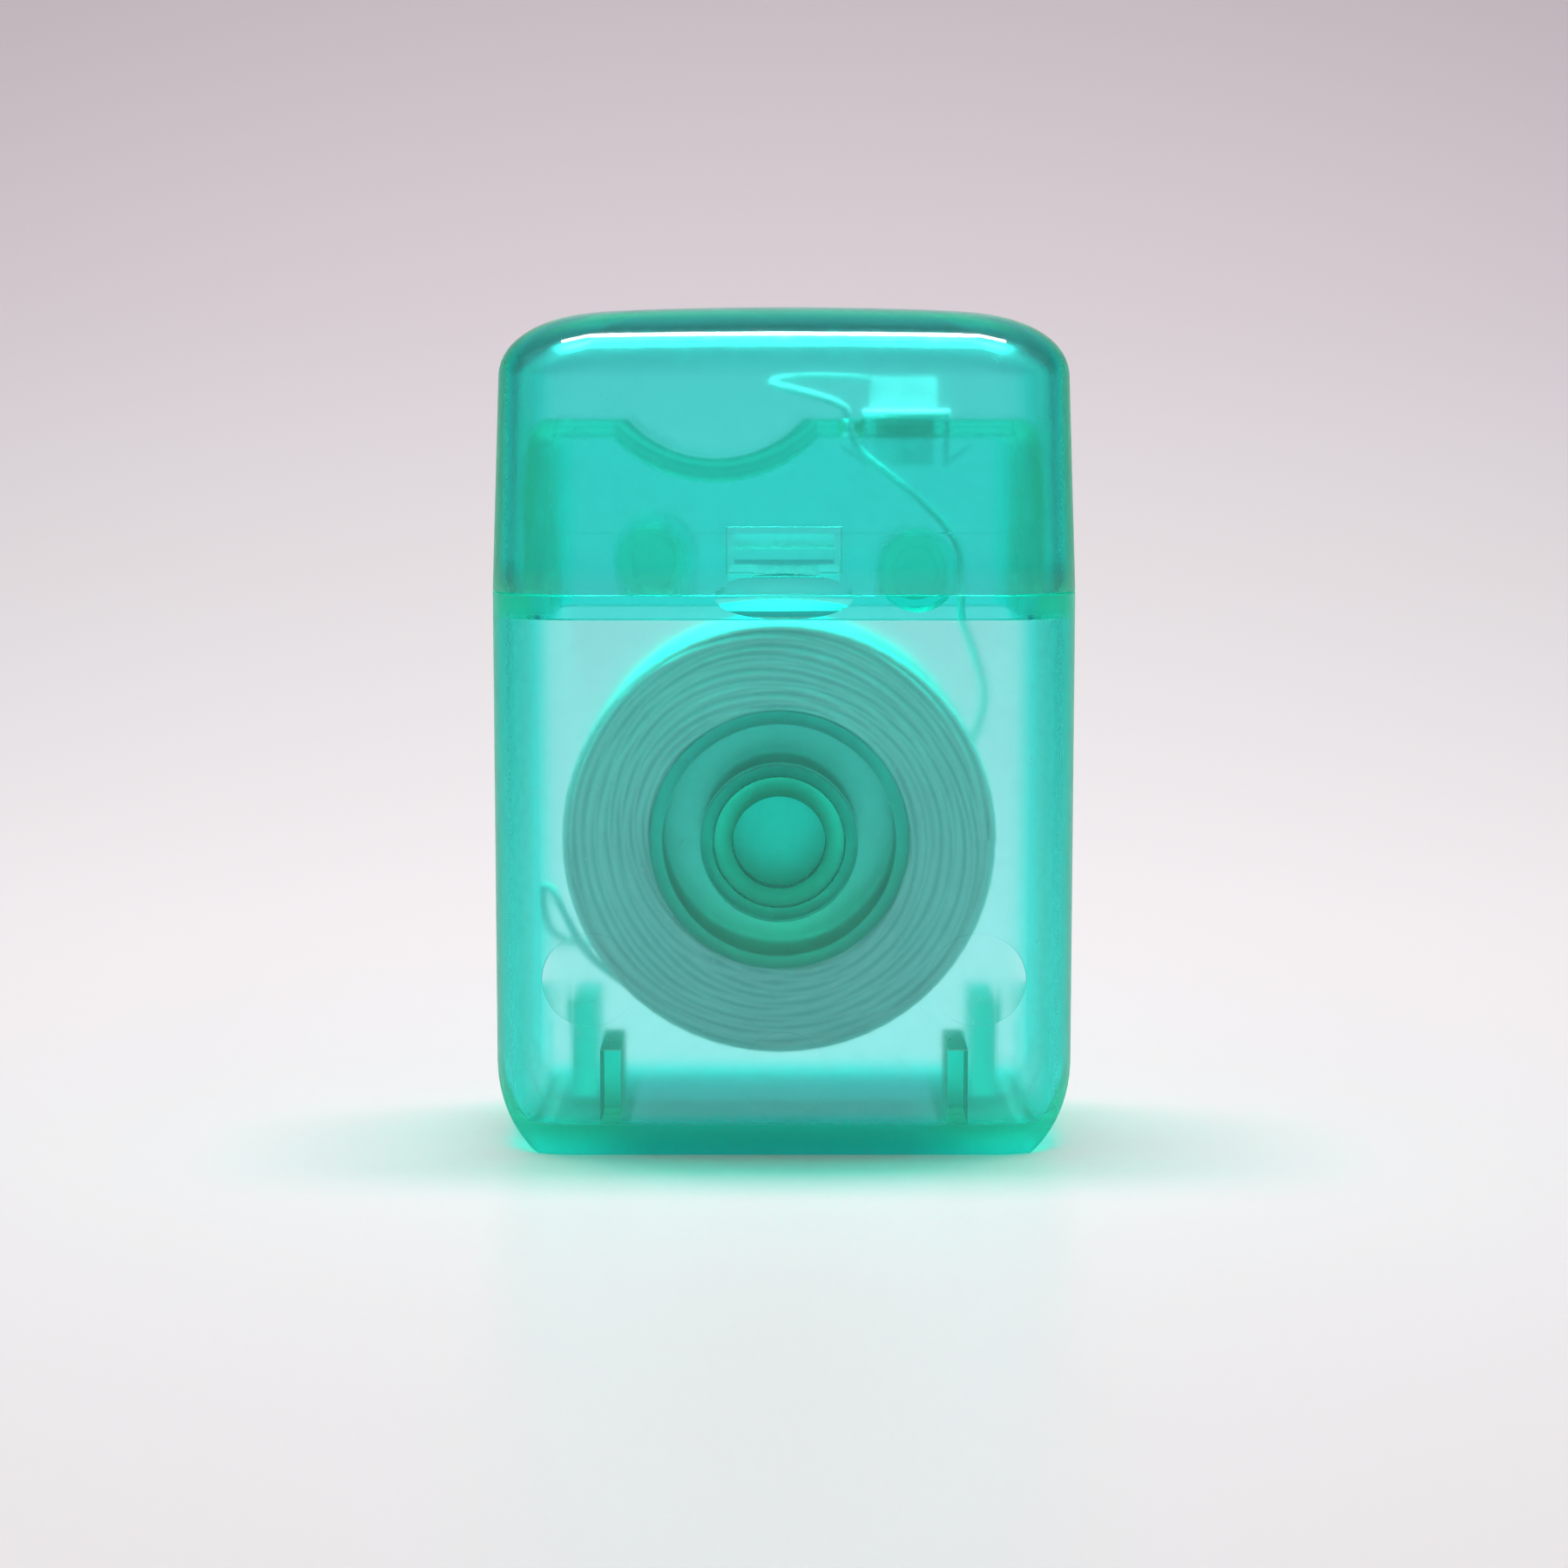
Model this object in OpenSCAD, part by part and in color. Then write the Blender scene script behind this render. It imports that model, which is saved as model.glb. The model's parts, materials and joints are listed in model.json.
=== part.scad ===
// Pocket floss dispenser: two case shells, a flip cap, a cutter and a spool of floss.
// Origin at the middle of the base, +Z up, the front face towards -Y, millimetres.

/* [Fits] */
// Hairline gap between pieces that rest on each other
rest_gap = 0.03; // [0.02:0.01:0.05]

/* [Case] */
// Width of the case
case_w = 36; // [34:0.5:42]
// Depth of the case from front to rear
case_d = 17.8; // [17:0.2:21]
// Height of the closed dispenser
case_h = 51.9; // [50:0.5:58]
// Radius of the upright edges, seen from above
edge_r = 5; // [4:0.25:6]
// Radius of the bottom corners, seen from the front
corner_r = 7; // [6:0.25:8]
// Height at which the bottom corners meet the straight sides
corner_z = 5.6; // [4.6:0.2:6]
// Thickness of the front and rear faces
face_wall = 0.9; // [0.7:0.05:1.1]
// Thickness of the side walls
side_wall = 1.05; // [0.8:0.05:1.3]
// Thickness of the floor
floor_t = 1.75; // [1.2:0.05:2.2]
// Thickness of the ledge that the cap rests on
ledge_t = 1.5; // [1:0.1:1.8]

/* [Cap] */
// Height of the closed cap above the body
cap_h = 17.5; // [16:0.5:18]
// Thickness of the cap's walls and top
cap_wall = 1.2; // [0.9:0.05:1.4]
// How far the cap's walls lean in, as a share of their height
cap_lean_share = 0.035; // [0.02:0.005:0.05]
// Height of the cap's domed top
dome_h = 4.4; // [3.4:0.1:5]
// How much the top falls towards its ends
crown = 0.8; // [0.4:0.1:1]
// Room under the closed cap's lower edge
cap_seat_gap = 0.1; // [0.05:0.01:0.2]

/* [Neck] */
// Distance of the deck's upper face below the top of the cap
deck_drop = 6.9; // [6.5:0.1:7.5]
// Thickness of the deck
deck_t = 1.4; // [1.1:0.05:1.6]
// Thickness of the neck's walls
neck_wall = 1; // [0.8:0.05:1.2]
// Room between the neck and the cap at the height of the deck
neck_gap = 0.4; // [0.3:0.05:0.6]
// Radius of the neck's upper corners, seen from the front
neck_corner_r = 1.6; // [1.3:0.1:2.2]
// Room between the neck and the swinging cap's edge
swing_gap = 0.35; // [0.25:0.05:0.6]

/* [Finger valley] */
// Place of the valley, left of the middle
valley_x = -4.2; // [-6:0.2:-3]
// Radius of the valley
valley_r = 7.3; // [6:0.1:8]
// Depth of the valley below the deck
valley_depth = 2.4; // [1.8:0.1:3]
// Thickness of the valley's wall
valley_wall = 1.6; // [1.2:0.1:1.8]

/* [Latch and thumb dish] */
// Width of the catch on the neck's front
latch_w = 6.2; // [5:0.1:8]
// Height of the catch
latch_h = 2; // [1.8:0.1:2.8]
// Distance of the catch above the parting line
latch_rise = 1.75; // [1.4:0.05:2]
// How far the catch stands out
latch_out = 0.35; // [0.2:0.05:0.4]
// Depth of the pocket for the catch inside the cap
pocket_depth = 0.45; // [0.3:0.05:0.5]
// Width of the thumb dish
dish_w = 8.4; // [7:0.2:10]
// Height of the thumb dish
dish_h = 2.8; // [2.2:0.1:3]
// Depth of the thumb dish
dish_depth = 0.7; // [0.4:0.05:0.75]

/* [Hinge] */
// Width of the film hinge
hinge_w = 14; // [10:0.5:18]
// Distance of the hinge line behind the rear face
hinge_out = 0.35; // [0.3:0.05:0.5]
// Thickness of the hinge's film and leaves
hinge_t = 0.2; // [0.15:0.01:0.25]
// Height of each hinge leaf
leaf_h = 1.5; // [1:0.1:2]
// Distance from the parting line to each leaf
leaf_gap = 0.5; // [0.4:0.05:0.7]

/* [Seam between the shells] */
// Gap between the rims of the shells
seam_gap = 0.06; // [0.04:0.01:0.1]
// Length of the tongue on the rear shell's rim
tongue_l = 0.9; // [0.6:0.05:1.2]
// Thickness of the tongue
tongue_t = 0.4; // [0.3:0.05:0.45]
// Room around the tongue
tongue_gap = 0.06; // [0.04:0.01:0.1]

/* [Ribs and pegs] */
// Place of the front shell's ribs either side of the middle
front_rib_x = 10.7; // [10:0.1:11]
// Thickness of the front shell's ribs
front_rib_t = 1.25; // [1:0.05:1.4]
// Height of the front shell's ribs above the base
front_rib_z = 6.4; // [5:0.1:7]
// Place of the rear shell's ribs either side of the middle
rear_rib_x = 12.8; // [12.4:0.1:13.4]
// Thickness of the rear shell's ribs
rear_rib_t = 1.6; // [1.2:0.05:1.8]
// Height of the rear shell's ribs above the base
rear_rib_z = 7.8; // [5:0.1:8]
// Distance of the pegs and sockets from the middle
peg_x = 8.15; // [7.8:0.05:8.6]
// Height of the right peg and socket above the parting line
right_peg_rise = 1.4; // [1.3:0.05:2.4]
// Height of the left peg and socket above the parting line
left_peg_rise = 2.05; // [1.3:0.05:2.4]
// Radius of the peg
peg_r = 1.3; // [1:0.05:1.5]
// Radius of the socket's outside
socket_r = 2.5; // [2.2:0.05:2.6]
// Radius of the peg's foot
foot_r = 2; // [1.8:0.05:2.2]
// How far a peg enters its socket
peg_in = 3; // [2:0.1:4]
// Radial clearance of peg and spigot
peg_gap = 0.05; // [0.03:0.01:0.1]
// Radius of the round marks inside the front face
mark_r = 2.9; // [2:0.1:3.2]
// Depth of the round marks
mark_depth = 0.08; // [0.06:0.01:0.2]

/* [Spool] */
// Place of the spool's axis, seen from the front
spool_x = -0.3; // [-0.6:0.1:0.3]
// Radius of the post that carries the spool
post_r = 4; // [3.6:0.1:4.2]
// Thickness of the post's wall
post_wall = 1.1; // [0.8:0.1:1.4]
// Radial clearance between post and spool
spool_gap = 0.08; // [0.04:0.01:0.1]
// Thickness of the hub's wall
hub_wall = 0.8; // [0.6:0.05:1]
// Thickness of the web between hub and rim
web_t = 1.2; // [0.8:0.1:2]
// Outer radius of the spool's rim
rim_r = 8; // [7.4:0.1:8.6]
// Thickness of the rim
rim_t = 0.8; // [0.6:0.05:1]
// End play of the hub between its collars
end_play = 0.3; // [0.2:0.05:0.5]
// Radius of the collars at the hub's ends
collar_r = 4.8; // [4.6:0.1:5]
// Height of the collars above the inner sides of the faces
collar_h = 1.25; // [1.15:0.05:1.4]

/* [Floss] */
// Room between the winding and the side wall
side_room = 3.55; // [3.5:0.05:4.5]
// Room between the winding and the body's upper edge
head_room = 1.8; // [1.8:0.1:2.6]
// Room between the winding and the floor
foot_room = 4.05; // [4.05:0.1:5]
// Distance of the winding's sides from the ends of the hub
hub_proud = 0.3; // [0.3:0.1:1.5]
// Diameter of the floss
floss_d = 0.5; // [0.4:0.05:0.55]
// Gap between neighbouring outer turns
turn_gap = 0.45; // [0.42:0.01:0.6]

/* [Outlet and cutter] */
// Place of the floss outlet from side to side
outlet_x = 4.1; // [3.6:0.1:4.2]
// Place of the floss outlet from front to rear
outlet_y = -2.5; // [-2.6:0.1:-2]
// Radius of the outlet
outlet_r = 0.75; // [0.6:0.05:0.9]
// Radius of the outlet's flared mouth
mouth_r = 1.05; // [0.95:0.05:1.1]
// Place of the cutter from side to side
cutter_x = 7.6; // [7.4:0.1:8]
// Width of the cutter's plate
cutter_w = 5.4; // [5:0.1:6]
// Depth of the cutter's plate
cutter_d = 4.2; // [3.6:0.1:4.6]
// Place of the cutter plate's front edge
cutter_front = -1.2; // [-1.4:0.1:-1]
// Thickness of the steel sheet
steel_t = 0.25; // [0.2:0.01:0.3]
// Height of the raised blade
blade_h = 2.8; // [2.2:0.1:3]
// Width of the raised blade
blade_w = 4.3; // [3.6:0.1:4.4]
// Angle by which the blade leans to the rear
blade_lean = 20; // [10:1:30]
// Number of teeth on the blade
teeth = 6; // [4:1:8]
// Depth of the teeth
tooth_h = 0.3; // [0.2:0.05:0.4]
// Width of the cutter's legs
leg_w = 1.8; // [1.4:0.1:2]
// Length of the legs below the deck's upper face
leg_l = 3.1; // [2.9:0.1:3.4]
// Length of the barbs that hold the legs
barb_l = 2.1; // [1.6:0.1:2.2]
// Angle by which the barbs rise
barb_angle = 35; // [25:1:40]
// Width of the lug behind the legs
lug_w = 3.7; // [3:0.1:4]
// Room around the cutter in the deck
cutter_gap = 0.12; // [0.08:0.01:0.15]

/* [Hidden] */
$fn = 96;

// One overrun serves every cut
over = 1;
plastic = "mediumturquoise";
floss_white = "honeydew";
steel = "silver";

half_w = case_w / 2;
half_d = case_d / 2;
inner_y = half_d - face_wall;
parting_z = case_h - cap_h;
deck_z = case_h - deck_drop;

// Neck
lean_in = (deck_z - parting_z) * cap_lean_share;
neck_in = cap_wall + lean_in + neck_gap;
neck_w = case_w - 2 * neck_in;
neck_d = case_d - 2 * neck_in;
neck_r = edge_r - neck_in;
ledge_z = parting_z - ledge_t;
under_deck = deck_z - deck_t;
valley_z = deck_z + valley_r - valley_depth;

// Hinge
hinge_y = half_d + hinge_out;
hinge_z = parting_z + cap_seat_gap / 2;

// Cap
cap_foot = parting_z + cap_seat_gap;
wall_top = case_h - dome_h;
top_lean = (wall_top - parting_z) * cap_lean_share;
dome_steps = 12;
dome_power = 2.6;
last_share = 0.96;
ring_arc_steps = 10;
ring_front_steps = 6;

// Pegs and sockets
right_peg_z = parting_z + right_peg_rise;
left_peg_z = parting_z + left_peg_rise;
peg_foot_gap = 0.1;
rib_end_gap = 0.3;

// Round marks: places in from the middle and up from the base
mark_x = 11.9;
mark_z = 10.8;
low_mark_z = 4.9;
low_mark_r = 2.65;

// Spool: the winding fills what the case leaves it
winding_r = min(half_w - side_wall - side_room, (parting_z - head_room - foot_room - floor_t) / 2);
spool_z = parting_z - head_room - winding_r;
collar_y = inner_y - collar_h;
hub_l = 2 * collar_y - end_play;
winding_w = hub_l - 2 * hub_proud;
post_bore = post_r - post_wall;
post_reach = collar_y - end_play;
spigot_in = 2;

// Outer turns of the floss
turn_sides = 6;
turn_rings = 24;
turn_pitch = floss_d + turn_gap;
turn_count = floor((winding_w - floss_d) / turn_pitch);
turn_r = winding_r - floss_d / 2;
pack_r = turn_r * cos(180 / turn_rings) - floss_d / 2 - rest_gap;

// Cutter
plate_z = deck_z + rest_gap;
blade_y = cutter_front + cutter_d - steel_t;
leg_y = cutter_front + cutter_d / 2 - leg_w / 2 - steel_t;
lip_rise = 0.4;
lip_d = 0.5;

// Route of the loose floss from the winding to the cutter
lead_sides = 8;
lead_steps = 3;
lead_points = [
    [-9.4, -1.6, 9],
    [-12.2, -1.8, 11.2],
    [-13.8, -1.9, 13.8],
    [-14.8, -1.5, 15.5],
    [-15.5, -0.4, 15.2],
    [-15.6, 1.4, 13.4],
    [-15.2, 3.8, 11.8],
    [-13.6, 6.1, 10.8],
    [-10.4, 7.1, 10.6],
    [-5.6, 7.1, 10.8],
    [-0.6, 7.1, 11.8],
    [4.2, 7.1, 14],
    [8.4, 7.1, 17.8],
    [11.6, 7, 22.6],
    [13, 5.9, 26.6],
    [12.2, 3.2, 30],
    [11.2, 0.6, 32.6],
    [11.1, -1, 35.2],
    [10.7, -1.4, 37.4],
    [9, -1.7, 39.4],
    [6.8, -2.2, 41.2],
    [4.8, -2.5, 42.8],
    [4.1, -2.5, 44.2],
    [3.7, -2.4, 45.7],
    [1.6, -1.7, 46.5],
    [-0.4, -0.7, 47],
    [-0.7, 0.2, 47.3],
    [0.6, 1, 47.6],
    [3, 2.2, 47.7],
    [4.8, 4, 47.6],
    [6, 4.3, 47.1],
    [7.1, 4, 46.5],
    [7.8, 3.7, 46.1],
];

// Turns a flat outline up and stretches it from y0 to y1
module along_y(y0, y1) {
    translate([0, y1, 0])
        rotate([90, 0, 0])
            linear_extrude(y1 - y0)
                children();
}

// A round bar along Y
module bar(r, y0, y1, x, z) {
    translate([x, y1, z])
        rotate([90, 0, 0])
            cylinder(r = r, h = y1 - y0);
}

// A rectangle with round corners, about the middle
module round_rect(w, d, r) {
    square([w - 2 * r, d], center = true);
    square([w, d - 2 * r], center = true);
    for (x = [-1, 1], y = [-1, 1])
        translate([x * (w / 2 - r), y * (d / 2 - r)])
            circle(r = r);
}

// A rectangle about the middle, seen from the front, from height z0 to z1
module upright(w, z0, z1) {
    translate([0, (z0 + z1) / 2])
        square([w, z1 - z0], center = true);
}

// The body seen from the front: straight sides over round bottom corners
module body_outline(w, r, z0, z1) {
    intersection() {
        union() {
            upright(w, corner_z, z1);
            upright(w - 2 * r, z0, z1);
            for (x = [-1, 1])
                translate([x * (w / 2 - r), corner_z])
                    circle(r = r);
        }
        upright(w, z0, z1);
    }
}

// The neck seen from the front: round upper corners and the finger valley
module neck_outline(w, r, z0, z1, cut_r) {
    difference() {
        union() {
            upright(w, z0, z1 - r);
            upright(w - 2 * r, z0, z1);
            for (x = [-1, 1])
                translate([x * (w / 2 - r), z1 - r])
                    circle(r = r);
        }
        translate([valley_x, valley_z])
            circle(r = cut_r);
    }
}

// The hollow of the body, and of the neck, seen from the front and grown all round
module body_hollow(grow) {
    body_outline(case_w - 2 * (side_wall - grow), corner_r - side_wall + grow,
        floor_t - grow, ledge_z + grow);
}

module neck_hollow(grow) {
    neck_outline(neck_w - 2 * (neck_wall - grow), neck_corner_r - neck_wall + grow,
        ledge_z, under_deck + grow, valley_r + valley_wall - grow);
}

// The room inside the cap's edge as it swings: its plan, drawn in, turned about the hinge
module swing_room(inset) {
    w = case_w - 2 * inset;
    translate([0, hinge_y, hinge_z])
        rotate([0, 90, 0])
            rotate_extrude() {
                translate([0, -w / 2])
                    square([hinge_y, w]);
                translate([hinge_y, 0])
                    round_rect(case_d - 2 * inset, w, edge_r - inset);
            }
}

module case_outside() {
    intersection() {
        linear_extrude(parting_z)
            round_rect(case_w, case_d, edge_r);
        along_y(-half_d, half_d)
            body_outline(case_w, corner_r, 0, parting_z);
    }
    intersection() {
        translate([0, 0, ledge_z])
            linear_extrude(deck_z - ledge_z)
                round_rect(neck_w, neck_d, neck_r);
        along_y(-half_d, half_d)
            neck_outline(neck_w, neck_corner_r, ledge_z, deck_z, valley_r);
        swing_room(cap_wall + swing_gap);
    }
}

module case_inside() {
    intersection() {
        linear_extrude(parting_z)
            round_rect(case_w - 2 * side_wall, case_d - 2 * face_wall, edge_r - side_wall);
        along_y(-half_d, half_d)
            body_hollow(0);
    }
    intersection() {
        linear_extrude(deck_z)
            round_rect(neck_w - 2 * neck_wall, neck_d - 2 * neck_wall, neck_r - neck_wall);
        along_y(-half_d, half_d)
            neck_hollow(0);
        swing_room(cap_wall + swing_gap + neck_wall);
    }
}

module front_half(y1) {
    intersection() {
        children();
        translate([-case_w, -case_d, -over])
            cube([2 * case_w, case_d + y1, case_h + 2 * over]);
    }
}

module rear_half() {
    intersection() {
        children();
        translate([-case_w, 0, -over])
            cube([2 * case_w, case_d, case_h + 2 * over]);
    }
}

// The shape of the tongue along both rims
module tongue_outline(grow) {
    difference() {
        union() {
            body_hollow(grow);
            neck_hollow(grow);
        }
        body_hollow(0);
        neck_hollow(0);
    }
}

// The thumb dish, shared by the cap and the body
module thumb_dish() {
    round_r = (dish_h * dish_h / 4 + dish_depth * dish_depth) / (2 * dish_depth);
    disc_r = (dish_w * dish_w / 4 + dish_depth * dish_depth) / (2 * dish_depth);
    translate([0, dish_depth - half_d - disc_r, parting_z])
        rotate_extrude() {
            intersection() {
                translate([disc_r - round_r, 0])
                    circle(r = round_r);
                translate([disc_r - round_r, -round_r])
                    square([round_r, 2 * round_r]);
            }
            translate([0, -round_r])
                square([disc_r - round_r, 2 * round_r]);
        }
}

// Everything that passes through the deck
module deck_openings() {
    translate([outlet_x, outlet_y, under_deck - over])
        cylinder(r = outlet_r, h = deck_t + 2 * over);
    translate([outlet_x, outlet_y, deck_z - (mouth_r - outlet_r)])
        cylinder(r1 = outlet_r, r2 = mouth_r, h = mouth_r - outlet_r);
    slot_t = steel_t + 2 * cutter_gap;
    for (side = [-1, 1])
        translate([cutter_x + side * (cutter_w / 2 - steel_t / 2) - slot_t / 2,
            leg_y - cutter_gap, under_deck - over])
            cube([slot_t, leg_w + 2 * cutter_gap, deck_t + 2 * over]);
    translate([cutter_x - lug_w / 2 - cutter_gap, blade_y - cutter_gap, under_deck - over])
        cube([lug_w + 2 * cutter_gap, slot_t, deck_t + 2 * over]);
}

// Turns what stands on the rear wall round to the front wall
module on_front_wall() {
    mirror([0, 1, 0])
        children();
}

// A peg on the rear wall, with a foot that stops at the far shell's socket
module peg(x, z) {
    intersection() {
        bar(foot_r, peg_foot_gap, inner_y + face_wall / 2, x, z);
        case_outside();
    }
    bar(peg_r, -peg_in, peg_foot_gap + over, x, z);
}

// A socket that reaches from the rear wall to the seam
module socket(x, z) {
    intersection() {
        difference() {
            bar(socket_r, seam_gap, inner_y + face_wall / 2, x, z);
            bar(peg_r + peg_gap, -over, peg_in + peg_foot_gap, x, z);
        }
        case_outside();
    }
}

// A collar on the rear wall and the round bar that stands on it, with or without a bore
module ring_post(r_out, r_in, reach) {
    difference() {
        union() {
            bar(collar_r, collar_y, inner_y + face_wall / 2, spool_x, spool_z);
            bar(r_out, -reach, collar_y + over, spool_x, spool_z);
        }
        if (r_in > 0)
            bar(r_in, -reach - over, collar_y, spool_x, spool_z);
    }
}

module ribs(x, t, top, y0, y1) {
    intersection() {
        for (side = [-1, 1])
            translate([side * x - t / 2, y0, floor_t / 2])
                cube([t, y1 - y0, top - floor_t / 2]);
        case_outside();
    }
}

// The catch, with a ramp above and below
module latch() {
    z0 = parting_z + latch_rise;
    y0 = -neck_d / 2;
    translate([-latch_w / 2, 0, 0])
        rotate([90, 0, 90])
            linear_extrude(latch_w)
                polygon([
                    [y0 + neck_wall / 2, z0],
                    [y0, z0],
                    [y0 - latch_out, z0 + latch_out],
                    [y0 - latch_out, z0 + latch_h / 2],
                    [y0, z0 + latch_h],
                    [y0 + neck_wall / 2, z0 + latch_h],
                ]);
}

// The thin leaf that one side of the film hinge grows from
module hinge_leaf(z0) {
    translate([-hinge_w / 2, half_d - face_wall / 2, z0])
        cube([hinge_w, face_wall / 2 + hinge_t, leaf_h]);
}

module front_shell() {
    color(plastic, 0.6) {
        difference() {
            union() {
                front_half(-seam_gap)
                    case_outside();
                latch();
            }
            front_half(-seam_gap + over)
                case_inside();
            along_y(-tongue_l - tongue_gap, over)
                union() {
                    body_hollow(tongue_t + tongue_gap);
                    neck_hollow(tongue_t + tongue_gap);
                }
            deck_openings();
            thumb_dish();
            on_front_wall() {
                for (side = [-1, 1])
                    bar(mark_r, inner_y - over, inner_y + mark_depth, side * mark_x, mark_z);
                bar(low_mark_r, inner_y - over, inner_y + mark_depth, 0, low_mark_z);
            }
        }
        ribs(front_rib_x, front_rib_t, front_rib_z, -inner_y - face_wall / 2,
            -tongue_l - rib_end_gap);
        on_front_wall() {
            ring_post(post_bore - peg_gap, 0, spigot_in - post_reach);
            socket(peg_x, right_peg_z);
            peg(-peg_x, left_peg_z);
        }
    }
}

module rear_shell() {
    color(plastic, 0.6) {
        difference() {
            rear_half()
                case_outside();
            case_inside();
            deck_openings();
        }
        difference() {
            along_y(-tongue_l, over)
                tongue_outline(tongue_t);
            deck_openings();
        }
        ribs(rear_rib_x, rear_rib_t, rear_rib_z, rib_end_gap, inner_y + face_wall / 2);
        ring_post(post_r, post_bore, post_reach);
        socket(-peg_x, left_peg_z);
        peg(peg_x, right_peg_z);
        hinge_leaf(parting_z - leaf_gap - leaf_h);
    }
}

// One ring of the cap: a quarter turn at each corner and even steps along the front and rear
function corner_points(cx, cy, r, start) =
    [for (i = [0 : ring_arc_steps])
        let(a = start + 90 * i / ring_arc_steps)
        [cx + r * cos(a), cy + r * sin(a)]];

function between(a, b, steps) =
    [for (i = [1 : steps - 1]) a + (b - a) * i / steps];

function plan_ring(w, d, r) =
    let(
        x = w / 2 - r,
        y = d / 2 - r,
        c1 = corner_points(x, y, r, 0),
        c2 = corner_points(-x, y, r, 90),
        c3 = corner_points(-x, -y, r, 180),
        c4 = corner_points(x, -y, r, 270),
        n = ring_arc_steps
    )
    concat(
        c1, between(c1[n], c2[0], ring_front_steps), c2,
        c3, between(c3[n], c4[0], ring_front_steps), c4
    );

// A dome over a tapering wall, as rings from the foot to the top
function dome_rings(w, d, r, foot, lean_foot, h) =
    let(
        base = plan_ring(w, d, r),
        half = d / 2 - top_lean
    )
    concat(
        [[for (p = base) [p[0] * (1 - 2 * lean_foot / w), p[1] * (1 - 2 * lean_foot / d), foot]]],
        [for (i = [0 : dome_steps])
            let(
                share = last_share * (1 - cos(90 * i / dome_steps)),
                x_scale = 1 - 2 * (top_lean + half * share) / w,
                y_scale = 1 - 2 * (top_lean + half * share) / d,
                z = wall_top + h * sqrt(1 - pow(1 - share, dome_power))
            )
            [for (p = base)
                [p[0] * x_scale, p[1] * y_scale, z - crown * share * pow(2 * p[0] * x_scale / w, 2)]]]
    );

// The triangles that close a ring of n points from number start, in strips across it
function end_faces(start, n) =
    [for (k = [0 : n / 2 - 2])
        let(
            a = start + k,
            b = start + n - 1 - k
        )
        for (f = [[a, a + 1, b - 1], [a, b - 1, b]]) f];

// Closes a stack of equal rings, each of an even number of points, into one solid of triangles
module loft(rings) {
    n = len(rings[0]);
    m = len(rings);
    points = [for (ring = rings) for (p = ring) p];
    sides = [for (i = [0 : m - 2]) for (j = [0 : n - 1])
        let(
            a = i * n + j,
            b = i * n + (j + 1) % n
        )
        for (f = [[a, a + n, b], [b, a + n, b + n]]) f];
    first = end_faces(0, n);
    last = [for (f = end_faces((m - 1) * n, n)) [f[0], f[2], f[1]]];
    polyhedron(points = points, faces = concat(sides, first, last));
}

function reversed(list) = [for (i = [len(list) - 1 : -1 : 0]) list[i]];

// The cap's outside and inside, joined round the foot
module cap_shell() {
    foot_lean = cap_seat_gap * cap_lean_share;
    outside = dome_rings(case_w, case_d, edge_r, cap_foot, foot_lean, dome_h);
    inside = dome_rings(case_w - 2 * cap_wall, case_d - 2 * cap_wall, edge_r - cap_wall,
        cap_foot, foot_lean, dome_h - cap_wall);
    loft(concat(reversed(inside), outside));
}

module flip_cap() {
    color(plastic, 0.6) {
        difference() {
            cap_shell();
            thumb_dish();
            translate([-latch_w / 2 - neck_gap, -half_d + cap_wall - pocket_depth,
                parting_z + latch_rise - neck_gap])
                cube([latch_w + 2 * neck_gap, over, latch_h + 2 * neck_gap]);
        }
        intersection() {
            hinge_leaf(parting_z + leaf_gap);
            translate([-hinge_w, half_d - cap_wall / 2, parting_z])
                cube([2 * hinge_w, case_d, case_h]);
        }
    }
}

// The thin film that bends when the cap opens
module hinge_film() {
    color(plastic, 0.6)
        translate([-hinge_w / 2, half_d + rest_gap, parting_z - leaf_gap + rest_gap])
            cube([hinge_w, hinge_t, 2 * (leaf_gap - rest_gap)]);
}

// The raised blade with its row of teeth
module blade() {
    pitch = blade_w / teeth;
    translate([cutter_x, blade_y, plate_z + steel_t * sin(blade_lean)])
        rotate([-blade_lean, 0, 0])
            rotate([90, 0, 0])
                translate([-blade_w / 2, 0, -steel_t])
                    linear_extrude(steel_t)
                        polygon(concat(
                            [[0, 0]],
                            [for (i = [0 : teeth - 1]) for (p = [
                                [i * pitch, blade_h - tooth_h],
                                [i * pitch + pitch / 2, blade_h]]) p],
                            [[blade_w, blade_h - tooth_h], [blade_w, 0]]
                        ));
}

module cutter() {
    color(steel) {
        translate([cutter_x - cutter_w / 2, cutter_front, plate_z])
            cube([cutter_w, cutter_d, steel_t]);
        translate([cutter_x - cutter_w / 2, cutter_front, plate_z])
            rotate([-atan(lip_rise / lip_d), 0, 0])
                translate([0, -lip_d, 0])
                    cube([cutter_w, lip_d, steel_t]);
        blade();
        for (side = [-1, 1]) {
            translate([cutter_x + side * (cutter_w / 2 - steel_t / 2) - steel_t / 2,
                leg_y, deck_z - leg_l])
                cube([steel_t, leg_w, leg_l + steel_t]);
            translate([cutter_x + side * (cutter_w / 2 - steel_t), leg_y, deck_z - leg_l])
                mirror([(1 - side) / 2, 0, 0])
                    rotate([0, -barb_angle, 0])
                        cube([barb_l, leg_w, steel_t]);
        }
        translate([cutter_x - lug_w / 2, blade_y, deck_z - leg_l])
            cube([lug_w, steel_t, leg_l + steel_t]);
    }
}

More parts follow.
